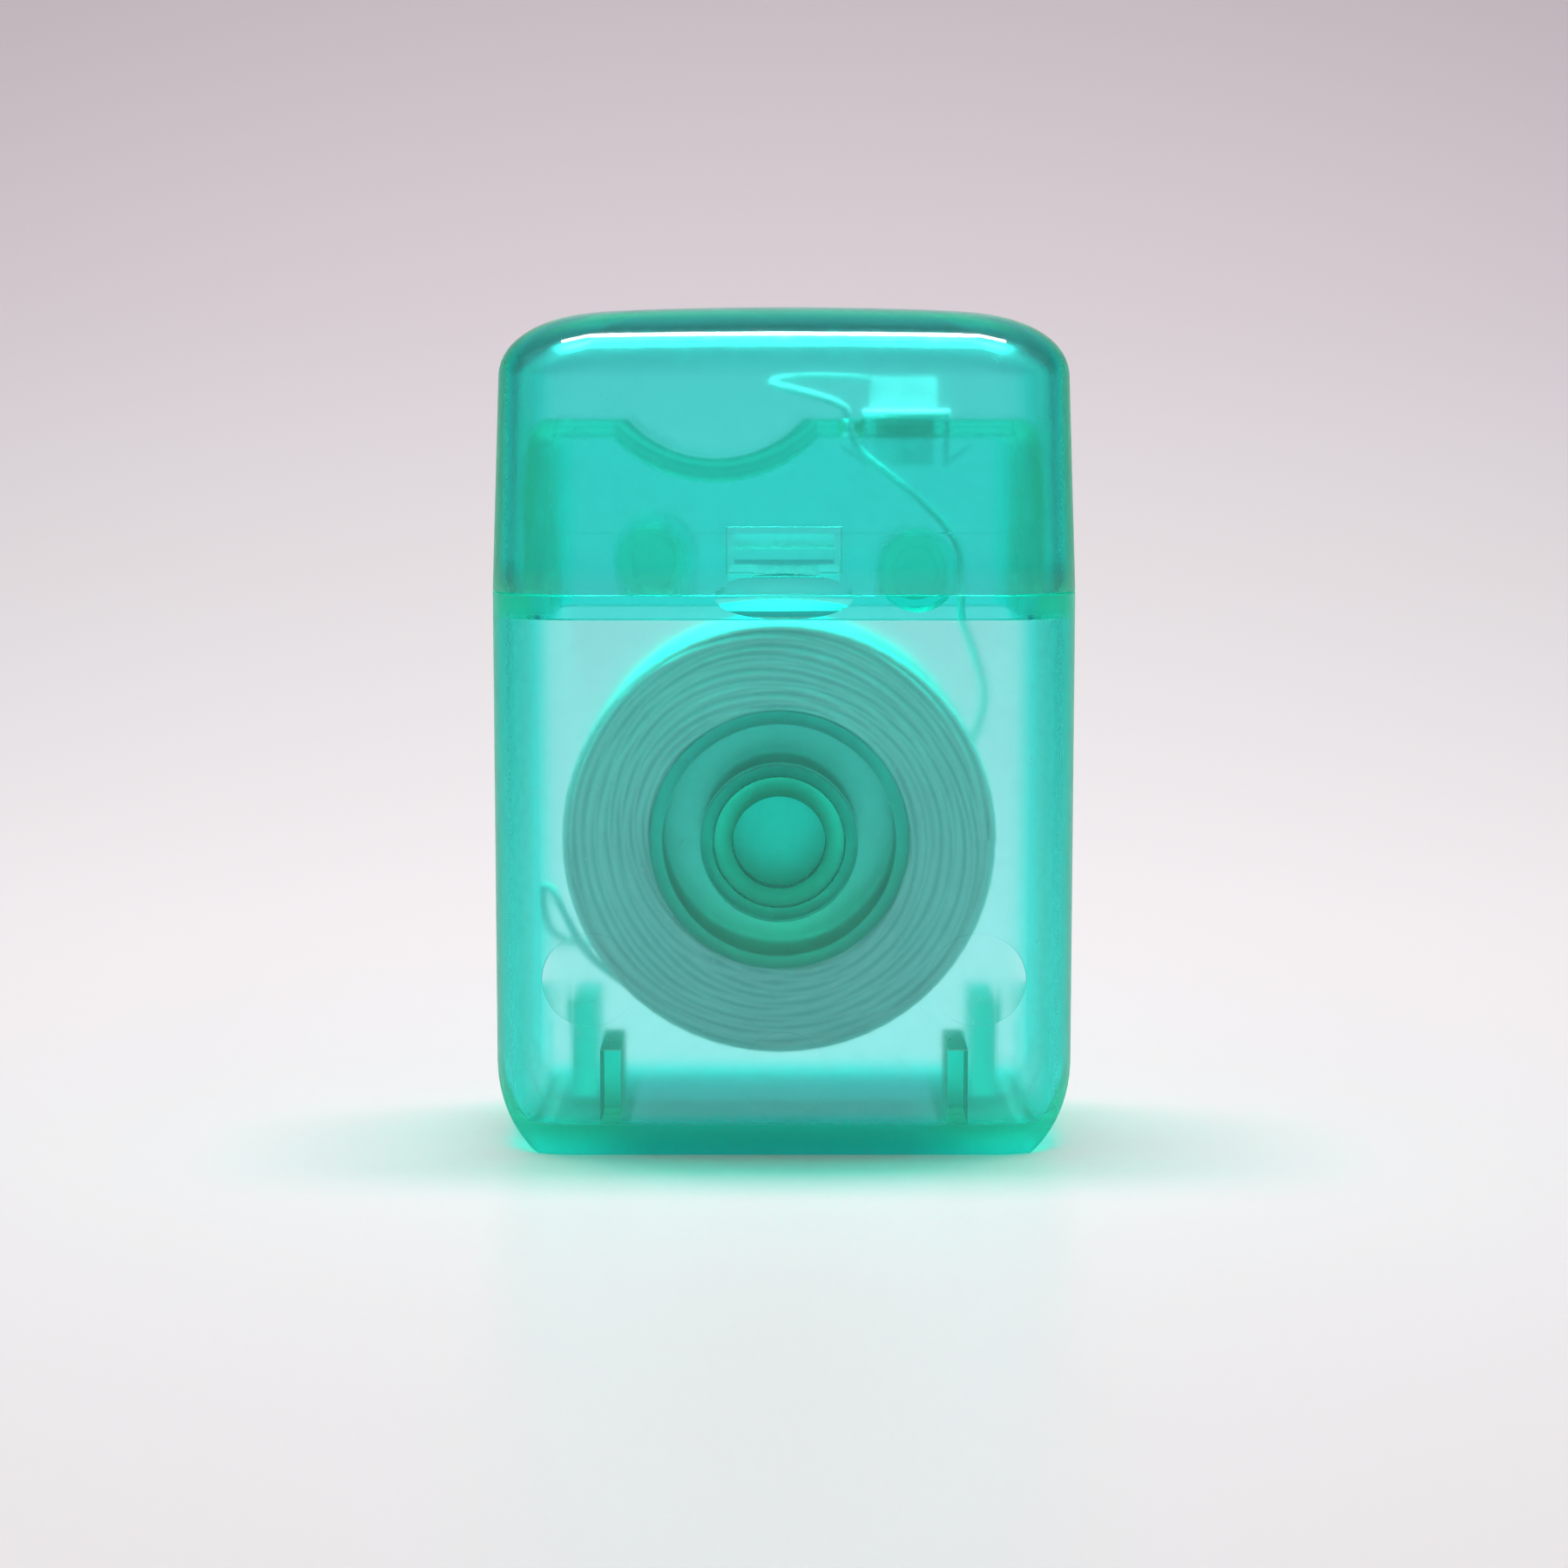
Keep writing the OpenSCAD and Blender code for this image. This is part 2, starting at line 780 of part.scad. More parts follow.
module spool_core() {
    bore = post_r + spool_gap;
    hub_r = bore + hub_wall;
    color(plastic, 0.6)
        translate([spool_x, 0, spool_z])
            rotate([90, 0, 0])
                rotate_extrude() {
                    translate([bore, -hub_l / 2])
                        square([hub_wall, hub_l]);
                    translate([hub_r - hub_wall / 2, -web_t / 2])
                        square([rim_r - rim_t / 2 - hub_r + hub_wall / 2, web_t]);
                    translate([rim_r - rim_t, -winding_w / 2])
                        square([rim_t, winding_w]);
                }
}

module floss_pack() {
    color(floss_white)
        translate([spool_x, 0, spool_z])
            rotate([90, 0, 0])
                rotate_extrude()
                    translate([rim_r + rest_gap, -winding_w / 2])
                        square([pack_r - rim_r - rest_gap, winding_w]);
}

function unit(v) = v / norm(v);

// Rings of a tube along a path: each ring keeps the last one's turn
function path_ways(path) =
    let(n = len(path))
    [for (i = [0 : n - 1]) unit(path[min(i + 1, n - 1)] - path[max(i - 1, 0)])];

function ring_of(at, way, up, r, sides) =
    let(side = cross(way, up))
    [for (j = [0 : sides - 1])
        let(a = 360 * j / sides)
        at + r * (cos(a) * up + sin(a) * side)];

function tube_rings(path, r, sides, first_up) =
    let(
        ways = path_ways(path),
        start = unit(first_up - (first_up * ways[0]) * ways[0])
    )
    [for (
        i = 0, up = start;
        i < len(path);
        i = i + 1,
        up = i < len(path) ? unit(up - (up * ways[i]) * ways[i]) : up
    ) ring_of(path[i], ways[i], up, r, sides)];

// The outer turns: a helix about the spool's axis
turn_path = [for (k = [0 : turn_count * turn_rings])
    let(a = 360 * k / turn_rings)
    [spool_x + turn_r * cos(a),
        (k / turn_rings - turn_count / 2) * turn_pitch,
        spool_z + turn_r * sin(a)]];

// The least distance between points at least half a turn apart, less the floss's diameter
turn_least_gap = min([for (i = [0 : turn_rings]) for (j = [i + turn_rings / 2 : 3 * turn_rings])
    norm(turn_path[i] - turn_path[j])]) - floss_d;
echo(turn_least_gap = turn_least_gap);

module floss_turns() {
    color(floss_white)
        loft(tube_rings(turn_path, floss_d / 2, turn_sides, [1, 0, 0]));
}

// A smooth curve through the route's points
function curve_at(p, i, t) =
    let(
        a = p[max(i - 1, 0)],
        b = p[i],
        c = p[i + 1],
        d = p[min(i + 2, len(p) - 1)]
    )
    b + ((c - a) * t + (2 * a - 5 * b + 4 * c - d) * t * t + (3 * b - a - 3 * c + d) * t * t * t) / 2;

function smooth(p, steps) =
    concat(
        [for (i = [0 : len(p) - 2]) for (k = [0 : steps - 1]) curve_at(p, i, k / steps)],
        [p[len(p) - 1]]
    );

lead_path = smooth(lead_points, lead_steps);
lead_length = [for (i = 0, sum = 0; i < len(lead_path); i = i + 1,
    sum = i < len(lead_path) ? sum + norm(lead_path[i] - lead_path[i - 1]) : sum) sum];
echo(lead_length = lead_length[len(lead_length) - 1]);

module floss_lead() {
    color(floss_white)
        loft(tube_rings(lead_path, floss_d / 2, lead_sides, [0, 1, 0]));
}

front_shell();
rear_shell();
flip_cap();
hinge_film();
cutter();
spool_core();
floss_pack();
floss_turns();
floss_lead();
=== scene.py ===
import json
import math

import bmesh
import bpy
from bpy.props import FloatProperty, FloatVectorProperty, IntProperty, PointerProperty
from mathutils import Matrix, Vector, noise
from mathutils.bvhtree import BVHTree


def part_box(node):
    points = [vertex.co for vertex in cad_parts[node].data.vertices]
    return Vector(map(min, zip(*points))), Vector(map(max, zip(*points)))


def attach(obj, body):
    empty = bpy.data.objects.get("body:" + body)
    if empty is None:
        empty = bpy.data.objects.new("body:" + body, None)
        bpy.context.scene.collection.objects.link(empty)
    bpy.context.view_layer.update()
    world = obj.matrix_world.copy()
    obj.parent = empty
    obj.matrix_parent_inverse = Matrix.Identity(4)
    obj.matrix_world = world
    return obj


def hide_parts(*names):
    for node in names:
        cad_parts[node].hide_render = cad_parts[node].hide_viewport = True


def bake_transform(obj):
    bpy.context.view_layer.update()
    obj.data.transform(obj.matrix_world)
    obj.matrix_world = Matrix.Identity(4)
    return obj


bl_info = {
    "name": "Floss Dispenser Dressing",
    "version": (1, 0, 0),
    "blender": (4, 5, 0),
    "location": "View3D > Sidebar > Dispenser",
    "description": "Dresses the packed floss dispenser in clear plastic, steel and wound floss",
    "category": "Add Mesh",
}

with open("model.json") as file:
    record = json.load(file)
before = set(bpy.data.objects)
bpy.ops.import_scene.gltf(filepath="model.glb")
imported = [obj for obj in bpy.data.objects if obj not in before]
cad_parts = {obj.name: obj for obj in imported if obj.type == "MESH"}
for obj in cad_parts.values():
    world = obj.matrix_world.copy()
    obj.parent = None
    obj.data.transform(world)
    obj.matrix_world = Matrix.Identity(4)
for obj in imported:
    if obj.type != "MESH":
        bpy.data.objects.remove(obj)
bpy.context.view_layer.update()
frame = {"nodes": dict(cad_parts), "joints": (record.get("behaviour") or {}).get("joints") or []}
MM = 0.001

HINGE = Vector(frame["joints"][0]["pos_m"])
SPOOL_AXIS = Vector(frame["joints"][1]["pos_m"])
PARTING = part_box("flip_cap")[0].z - 0.1 * MM
CASE_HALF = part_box("rear_shell")[1].x
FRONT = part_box("front_shell")[0].y

# Where the plastic is seen end on, in metres: places on the case and how far each zone fades out. Each zone gets
# rougher faces and painted shade.
SIDE_START, SIDE_END = 15.6 * MM, 17.2 * MM
FLOOR_TOP, FLOOR_FADE = 1.8 * MM, 0.8 * MM
NECK_SIDE, NECK_FADE = 14.4 * MM, 1.2 * MM
NECK_DROP, NECK_RISE = 1.5 * MM, 0.4 * MM
RIB_INNER, RIB_OUTER, RIB_TOP = 9.6 * MM, 14.2 * MM, 8.1 * MM
INNER_HALF, BEHIND_FRONT = 7.6 * MM, 8.2 * MM
POST_CORE, POST_EDGE = 2.8 * MM, 5 * MM
WEB_HALF = 0.7 * MM
FADE = 0.3 * MM

# Route of the loose floss from the winding to the cutter, in metres
LEAD_ROUTE = [
    (-0.0094, -0.0016, 0.009),
    (-0.0122, -0.0018, 0.0112),
    (-0.0138, -0.0019, 0.0138),
    (-0.0148, -0.0015, 0.0155),
    (-0.0155, -0.0004, 0.0152),
    (-0.0156, 0.0014, 0.0134),
    (-0.0152, 0.0038, 0.0118),
    (-0.0136, 0.0061, 0.0108),
    (-0.0104, 0.0071, 0.0106),
    (-0.0056, 0.0071, 0.0108),
    (-0.0006, 0.0071, 0.0118),
    (0.0042, 0.0071, 0.014),
    (0.0084, 0.0071, 0.0178),
    (0.0116, 0.007, 0.0226),
    (0.013, 0.0059, 0.0266),
    (0.0122, 0.0032, 0.03),
    (0.0112, 0.0006, 0.0326),
    (0.0111, -0.001, 0.0352),
    (0.0107, -0.0014, 0.0374),
    (0.009, -0.0017, 0.0394),
    (0.0068, -0.0022, 0.0412),
    (0.0048, -0.0025, 0.0428),
    (0.0041, -0.0025, 0.0442),
    (0.0037, -0.0024, 0.0457),
    (0.0016, -0.0017, 0.0465),
    (-0.0004, -0.0007, 0.047),
    (-0.0007, 0.0002, 0.0473),
    (0.0006, 0.001, 0.0476),
    (0.003, 0.0022, 0.0477),
    (0.0048, 0.004, 0.0476),
    (0.006, 0.0043, 0.0471),
    (0.0071, 0.004, 0.0465),
    (0.0078, 0.0037, 0.0461),
]


def length(name, description, default):
    return FloatProperty(name=name, description=description, default=default, unit="LENGTH", precision=5)


def colour(name, description, default):
    return FloatVectorProperty(name=name, description=description, default=default, subtype="COLOR", min=0, max=1)


class CapSizes(bpy.types.PropertyGroup):
    wall: length("Wall", "Thickness of the cap's walls and top", 1.2 * MM)
    edge_radius: length("Edge radius", "Radius of the upright edges", 5 * MM)
    dome_height: length("Dome height", "Height of the domed top", 4.4 * MM)
    crown: length("Crown", "How much the top falls towards its ends", 0.8 * MM)
    lean: FloatProperty(name="Lean", description="How far the walls lean in, as a share of their height",
                        default=0.035, subtype="FACTOR")
    dome_power: FloatProperty(name="Dome power", description="Fullness of the dome's section", default=2.6)
    dish_width: length("Dish width", "Width of the thumb dish", 8.4 * MM)
    dish_height: length("Dish height", "Height of the thumb dish", 2.8 * MM)
    dish_depth: length("Dish depth", "Depth of the thumb dish", 0.7 * MM)
    pocket_width: length("Pocket width", "Width of the pocket for the catch", 7 * MM)
    pocket_height: length("Pocket height", "Height of the pocket for the catch", 2.8 * MM)
    pocket_rise: length("Pocket rise", "Distance of the pocket above the parting line", 1.35 * MM)
    pocket_depth: length("Pocket depth", "Depth of the pocket for the catch", 0.45 * MM)
    leaf_width: length("Leaf width", "Width of the hinge leaf", 14 * MM)
    leaf_height: length("Leaf height", "Height of the hinge leaf", 1.5 * MM)
    leaf_gap: length("Leaf gap", "Distance from the parting line to the leaf", 0.5 * MM)
    leaf_out: length("Leaf thickness", "How far the leaf stands out", 0.2 * MM)
    steps: IntProperty(name="Dome steps", description="Rings of faces over the dome", default=28)


class FlossSizes(bpy.types.PropertyGroup):
    diameter: length("Floss diameter", "Diameter of the floss", 0.5 * MM)
    inner: length("Inner radius", "Radius of the rim that the floss is wound on", 8.03 * MM)
    outer: length("Outer radius", "Radius of the winding", 13.4 * MM)
    width: length("Width", "Width of the winding", 12.6 * MM)
    ridge: length("Ridge pitch", "Distance between the strands on the winding's sides", 0.44 * MM)
    relief: length("Ridge relief", "Height of the strands on the winding's sides", 0.17 * MM)
    turns: IntProperty(name="Turns", description="Turns of floss across the outside", default=23)


class Finish(bpy.types.PropertyGroup):
    tint: colour("Tint", "Colour that the clear plastic lets through", (0.0, 0.988, 0.955))
    gloss_tint: colour("Gloss tint", "Colour of the plastic's head-on reflections", (0.95, 1.0, 1.0))
    shadow_tint: colour("Shadow tint", "Light that the plastic's surface lets through to what lies behind",
                        (0.93, 0.92, 0.91))
    refraction: FloatProperty(name="Refraction", description="Refractive index of the clear plastic", default=1.43)
    case_gloss: FloatProperty(name="Case gloss", description="Roughness of the shells' outer faces", default=0.06,
                              subtype="FACTOR")
    cap_gloss: FloatProperty(name="Cap gloss", description="Roughness of the cap's outer faces", default=0.07,
                             subtype="FACTOR")
    case_density: FloatProperty(name="Case density", description="Depth of the case's tint, per metre", default=600)
    cap_density: FloatProperty(name="Cap density", description="Depth of the cap's tint, per metre", default=1000)
    core_density: FloatProperty(name="Core density", description="Depth of the spool's tint, per metre", default=400)
    # Painted shade: the plastic's colour is darkened and its red nearly taken out where it is seen end on, standing in
    # for light passing lengthwise through it.
    end_on_painted_shade: colour("End-on painted shade", "Extra tint of the parts that are seen end on", (0.06, 1.0, 0.93))
    # Painted shade: a darker copy of the plastic's colour on the spool's post and the ribs.
    post_painted_shade: colour("Post painted shade", "Extra tint of the spool's post and the ribs", (0.9, 0.8, 0.77))
    post_frost: FloatProperty(name="Post frost", description="Roughness of the spool's post and the ribs", default=0.6,
                              subtype="FACTOR")
    # Painted shade: a darker copy of the spool's colour on its web.
    web_painted_shade: colour("Web painted shade", "Extra tint of the spool's web", (0.72, 0.88, 0.83))
    satin: FloatProperty(name="Satin", description="Roughness of the shells' inner faces", default=0.21,
                         subtype="FACTOR")
    edge_satin: FloatProperty(name="Edge satin", description="Roughness of the parts that are seen end on",
                              default=0.32, subtype="FACTOR")
    frost: FloatProperty(name="Frost", description="Roughness of the spool's faces", default=0.5, subtype="FACTOR")
    floss: colour("Floss", "Colour of the waxed floss", (0.84, 1.0, 0.98))
    steel: colour("Steel", "Colour of the rolled steel sheet", (0.86, 0.87, 0.87))


class StageSizes(bpy.types.PropertyGroup):
    camera_distance: length("Camera distance", "From the camera to the front face", 200 * MM)
    camera_height: length("Camera height", "Height of the camera above the floor", 46.7 * MM)
    camera_pitch: FloatProperty(name="Camera pitch", description="How far the camera looks down",
                                default=math.radians(6.76), subtype="ANGLE")
    lens: FloatProperty(name="Lens", description="Focal length in millimetres", default=76.1)
    sweep_rear: length("Sweep", "Distance of the backdrop behind the dispenser", 0.42)
    sweep_radius: length("Sweep radius", "Radius where the floor turns up", 0.3)
    softbox_height: length("Softbox height", "Height of the lamp over the floor", 0.42)
    softbox_back: length("Softbox place", "How far the lamp stands behind the dispenser's middle", 0.058)
    softbox_width: length("Softbox width", "Width of the lamp", 0.27)
    softbox_depth: length("Softbox depth", "Depth of the lamp", 0.055)
    softbox_power: FloatProperty(name="Softbox power", description="Power of the lamp in watts", default=1.66)
    fill: FloatProperty(name="Fill", description="Strength of the light from all around", default=0.3)
    fill_colour: colour("Fill colour", "Colour of the light from all around", (1.0, 0.98, 0.99))
    surroundings: colour("Surroundings", "What is seen past the sweep and through the plastic", (0.68, 0.61, 0.66))


def deselect_all():
    if bpy.context.mode != "OBJECT":
        bpy.ops.object.mode_set(mode="OBJECT")
    bpy.ops.object.select_all(action="DESELECT")


def make_active(obj):
    deselect_all()
    obj.select_set(True)
    bpy.context.view_layer.objects.active = obj


def named(obj, name):
    obj.name = name
    obj.data.name = name
    return obj


def start_edit(obj):
    make_active(obj)
    bpy.ops.object.mode_set(mode="EDIT")


def end_edit():
    bpy.ops.object.mode_set(mode="OBJECT")


def pick(obj, kind, wanted):
    """Selects the vertices, edges or faces of an object in edit mode for which wanted is true."""
    bpy.ops.mesh.select_mode(type=kind)
    bpy.ops.mesh.select_all(action="DESELECT")
    shape = bmesh.from_edit_mesh(obj.data)
    for part in {"VERT": shape.verts, "EDGE": shape.edges, "FACE": shape.faces}[kind]:
        if wanted(part):
            part.select_set(True)
    shape.select_flush_mode()
    bmesh.update_edit_mesh(obj.data)


def settle(obj):
    """Puts the object's place into its mesh."""
    make_active(obj)
    bpy.ops.object.transform_apply(location=True, rotation=True, scale=True)


def apply(obj, kind, **settings):
    """Adds a modifier with these settings and applies it."""
    make_active(obj)
    modifier = obj.modifiers.new(kind.title(), kind)
    for key, value in settings.items():
        setattr(modifier, key, value)
    bpy.ops.object.modifier_apply(modifier=modifier.name)


def cut(obj, tool, operation="DIFFERENCE"):
    """Cuts the tool out of the object, or joins it to it, and removes the tool."""
    apply(obj, "BOOLEAN", object=tool, operation=operation, solver="EXACT")
    bpy.data.objects.remove(tool, do_unlink=True)


def smooth(obj, degrees=35):
    make_active(obj)
    bpy.ops.object.shade_smooth_by_angle(angle=math.radians(degrees))


def block(low, high):
    """A block between two corners, used as a tool or as the start of a piece."""
    low, high = Vector(low), Vector(high)
    deselect_all()
    bpy.ops.mesh.primitive_cube_add(size=1, location=(low + high) / 2)
    obj = bpy.context.object
    obj.scale = high - low
    settle(obj)
    return obj


def dress(obj, name, body, slot, *materials):
    """Names the piece, gives it its materials and sets it on its body."""
    named(obj, name)
    obj.data.materials.clear()
    for material in materials:
        obj.data.materials.append(material)
    if body:
        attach(obj, body)
    return obj


def copy_of_node(node):
    """A copy of a CAD node's mesh with its doubles merged and its flat faces joined."""
    deselect_all()
    source = frame["nodes"][node]
    obj = bpy.data.objects.new(node + "_copy", source.data.copy())
    bpy.context.collection.objects.link(obj)
    start_edit(obj)
    bpy.ops.mesh.select_all(action="SELECT")
    bpy.ops.mesh.remove_doubles(threshold=0.002 * MM)
    bpy.ops.mesh.customdata_custom_splitnormals_clear()
    bpy.ops.mesh.dissolve_limited(angle_limit=math.radians(0.6))
    end_edit()
    return obj


class Tree:
    """A material's or a group's nodes, with short ways to add and join them."""

    def __init__(self, tree):
        self.tree = tree
        tree.nodes.clear()

    def add(self, kind, sockets=None, **settings):
        node = self.tree.nodes.new(kind)
        for key, value in settings.items():
            setattr(node, key, value)
        for key, value in (sockets or {}).items():
            self.feed(value, node.inputs[key])
        return node

    def feed(self, value, socket):
        if isinstance(value, bpy.types.NodeSocket):
            self.tree.links.new(value, socket)
        elif isinstance(value, bpy.types.Node):
            self.tree.links.new(value.outputs[0], socket)
        else:
            socket.default_value = value

    def math(self, operation, a, b=0.0):
        return self.add("ShaderNodeMath", {0: a, 1: b}, operation=operation)

    def fade(self, value, start, end):
        """Rises from 0 to 1 while the value goes from start to end."""
        return self.add("ShaderNodeMapRange", {"Value": value, "From Min": start, "From Max": end})

    def ramp(self, value, *stops):
        """A colour ramp with its stops given as places and colours."""
        node = self.add("ShaderNodeValToRGB", {"Fac": value})
        steps = node.color_ramp.elements
        while len(steps) < len(stops):
            steps.new(0.5)
        for step, (place, shade) in zip(steps, stops):
            step.position = place
        for step, (place, shade) in zip(steps, stops):
            step.color = (*shade, 1)
        return node


def group(name, inputs, outputs, build):
    """A shader node group with named sockets. build fills it and gives back its outputs by name."""
    made = bpy.data.node_groups.get(name)
    if made:
        return made
    made = bpy.data.node_groups.new(name, "ShaderNodeTree")
    for label, kind, default in inputs:
        socket = made.interface.new_socket(label, in_out="INPUT", socket_type=kind)
        socket.default_value = default
    for label, kind in outputs:
        made.interface.new_socket(label, in_out="OUTPUT", socket_type=kind)
    tree = Tree(made)
    source = tree.add("NodeGroupInput")
    results = build(tree, source.outputs)
    tree.add("NodeGroupOutput", results)
    return made


def moulded_surface():
    """Fine scuffs and the slight waves of a moulded wall."""

    def build(t, given):
        place = t.add("ShaderNodeTexCoord").outputs["Object"]
        waves = t.add("ShaderNodeTexNoise", {"Vector": place, "Scale": given["Wave scale"], "Detail": 1.5})
        haze = t.add("ShaderNodeTexNoise", {"Vector": place, "Scale": given["Scuff scale"], "Detail": 6,
                                            "Roughness": 0.65})
        long_way = t.add("ShaderNodeMapping", {"Vector": place, "Scale": (1, 1, 0.12), "Rotation": (0.3, 0.7, 0.2)})
        hairs = t.add("ShaderNodeTexNoise", {"Vector": long_way, "Scale": given["Scuff scale"], "Detail": 2})
        mask = t.math("MAXIMUM", t.fade(haze, 0.45, 0.75), t.fade(hairs, 0.7, 0.8))
        return {"Mask": mask, "Height": waves}

    return group("moulded_surface",
                 [("Wave scale", "NodeSocketFloat", 120.0), ("Scuff scale", "NodeSocketFloat", 900.0)],
                 [("Mask", "NodeSocketFloat"), ("Height", "NodeSocketFloat")], build)


def new_material(name):
    material = bpy.data.materials.new(name)
    material.use_nodes = True
    return material, Tree(material.node_tree)


def below_skin():
    """Masks the inner sides of the case's walls, by how deep a point lies under the outer skin."""

    def build(t, given):
        parts = t.add("ShaderNodeSeparateXYZ", {"Vector": t.add("ShaderNodeTexCoord").outputs["Object"]})
        x, y = (t.math("ABSOLUTE", parts.outputs[axis]) for axis in "XY")
        z = t.math("SUBTRACT", 0.0, parts.outputs["Z"])
        depths = []
        for other, half, radius in ((y, given["Half depth"], given["Edge radius"]), (z, 0.0, given["Corner radius"])):
            flat = []
            for value, reach in ((x, given["Half width"]), (other, half)):
                out = t.math("SUBTRACT", value, t.math("SUBTRACT", reach, radius))
                flat.append(t.math("MAXIMUM", out, 0.0))
            both = t.add("ShaderNodeCombineXYZ", {"X": flat[0], "Y": flat[1]})
            away = t.add("ShaderNodeVectorMath", {0: both}, operation="LENGTH")
            depths.append(t.math("SUBTRACT", radius, away.outputs["Value"]))
        depth = t.math("MINIMUM", *depths)
        wall = t.math("MAXIMUM", t.fade(depth, 1.4 * MM, 1.1 * MM), t.fade(parts.outputs["Y"], 0.0, 1 * MM))
        return {"Mask": t.math("MULTIPLY", t.fade(depth, 0.3 * MM, 0.6 * MM), wall)}

    return group("below_skin",
                 [("Half width", "NodeSocketFloat", 0.018), ("Half depth", "NodeSocketFloat", 0.0089),
                  ("Edge radius", "NodeSocketFloat", 0.005), ("Corner radius", "NodeSocketFloat", 0.007)],
                 [("Mask", "NodeSocketFloat")], build)


def deep_parts():
    """Masks where the plastic is seen end on: its sides, floor, ribs and spool post, and the neck's sides. They set
    rougher faces and painted shade.
    """

    def build(t, given):
        parts = t.add("ShaderNodeSeparateXYZ", {"Vector": t.add("ShaderNodeTexCoord").outputs["Object"]})
        x, y = (t.math("ABSOLUTE", parts.outputs[axis]) for axis in "XY")
        z = parts.outputs["Z"]
        sides = t.fade(x, SIDE_START, SIDE_END)
        floor = t.fade(z, FLOOR_TOP + FLOOR_FADE, FLOOR_TOP)
        neck = t.fade(x, NECK_SIDE - NECK_FADE, NECK_SIDE)
        neck_low = PARTING - NECK_DROP
        neck = t.math("MULTIPLY", neck, t.fade(z, neck_low, neck_low + NECK_RISE))
        ribs = t.fade(x, RIB_INNER - FADE, RIB_INNER)
        ribs = t.math("MULTIPLY", ribs, t.fade(x, RIB_OUTER + FADE, RIB_OUTER))
        ribs = t.math("MULTIPLY", ribs, t.fade(z, RIB_TOP + FADE, RIB_TOP))
        ribs = t.math("MULTIPLY", ribs, t.fade(y, INNER_HALF + FADE, INNER_HALF))
        aside = t.add("ShaderNodeCombineXYZ", {"X": parts.outputs["X"], "Z": z})
        aside = t.add("ShaderNodeVectorMath", {0: aside, 1: (SPOOL_AXIS.x, 0, SPOOL_AXIS.z)}, operation="DISTANCE")
        post = t.fade(aside.outputs["Value"], POST_EDGE, POST_CORE)
        post = t.math("MULTIPLY", post, t.fade(y, BEHIND_FRONT + FADE, BEHIND_FRONT))
        low = t.math("MAXIMUM", t.math("MAXIMUM", floor, post), t.math("MAXIMUM", neck, ribs))
        return {"Mask": t.math("MAXIMUM", sides, t.math("MULTIPLY", low, given["Case"])),
                "Post": t.math("MULTIPLY", t.math("MAXIMUM", post, ribs), given["Case"])}

    return group("deep_parts", [("Case", "NodeSocketFloat", 1.0)],
                 [("Mask", "NodeSocketFloat"), ("Post", "NodeSocketFloat")], build)


def clear_plastic(name, density, outer_rough, inner_rough, inner, tone=(1, 1, 1), clearness=1):
    """Tinted clear plastic that lets the lamp through to what it holds.

    inner says where the satin is: "skin" for the case's inner walls, "attribute" for a mesh's own
    mark, "all" for every face.
    """
    finish = bpy.context.scene.dispenser_finish
    material, t = new_material(name)
    if inner == "skin":
        inside = t.add("ShaderNodeGroup", {"Half width": CASE_HALF, "Half depth": -FRONT}, node_tree=below_skin())
    elif inner == "attribute":
        inside = t.add("ShaderNodeAttribute", attribute_name="inner").outputs["Fac"]
    else:
        inside = t.add("ShaderNodeMapRange", {"Value": 1.0})
    surface = t.add("ShaderNodeGroup", node_tree=moulded_surface())
    base = t.add("ShaderNodeMapRange", {"Value": inside, "To Min": outer_rough, "To Max": inner_rough})
    if inner == "all":
        parts = t.add("ShaderNodeSeparateXYZ", {"Vector": t.add("ShaderNodeTexCoord").outputs["Object"]})
        web = t.fade(t.math("ABSOLUTE", parts.outputs["Y"]), WEB_HALF + FADE, WEB_HALF)
        painted_zones = [(web, finish.web_painted_shade)]
    else:
        deep = t.add("ShaderNodeGroup", {"Case": 1.0 if inner == "skin" else 0.0}, node_tree=deep_parts()).outputs
        base = t.math("MAXIMUM", base, t.math("MULTIPLY", deep["Mask"], finish.edge_satin))
        base = t.math("MAXIMUM", base, t.math("MULTIPLY", deep["Post"], finish.post_frost))
        painted_zones = [(deep["Mask"], finish.end_on_painted_shade), (deep["Post"], finish.post_painted_shade)]
    rough = t.math("ADD", base, t.math("MULTIPLY", surface.outputs["Mask"], 0.08))
    shade = t.ramp(surface.outputs["Mask"], (0, tone), (1, [c * 0.97 for c in tone]))
    # Painted shade: each zone multiplies the plastic's colour by a darker copy, on the spool's web, on the parts seen
    # end on, and on the post and the ribs.
    for mask, tint in painted_zones:
        zone_shade = t.ramp(mask, (0, (1, 1, 1)), (1, tint))
        shade = t.add("ShaderNodeVectorMath", {0: shade, 1: zone_shade}, operation="MULTIPLY")
    bump = t.add("ShaderNodeBump", {"Height": surface.outputs["Height"], "Strength": 0.006, "Distance": 0.3 * MM})
    glass = t.add("ShaderNodeBsdfPrincipled", {
        "Base Color": shade, "Roughness": rough, "IOR": finish.refraction, "Transmission Weight": clearness,
        "Normal": bump, "Specular Tint": (*finish.gloss_tint, 1)})
    through = t.add("ShaderNodeBsdfTransparent", {"Color": (*finish.shadow_tint, 1)})
    ray = t.add("ShaderNodeLightPath")
    mixed = t.add("ShaderNodeMixShader", {0: ray.outputs["Is Shadow Ray"], 1: glass, 2: through})
    depth = t.add("ShaderNodeVolumeAbsorption", {"Color": (*finish.tint, 1), "Density": density})
    t.add("ShaderNodeOutputMaterial", {"Surface": mixed, "Volume": depth})
    return material


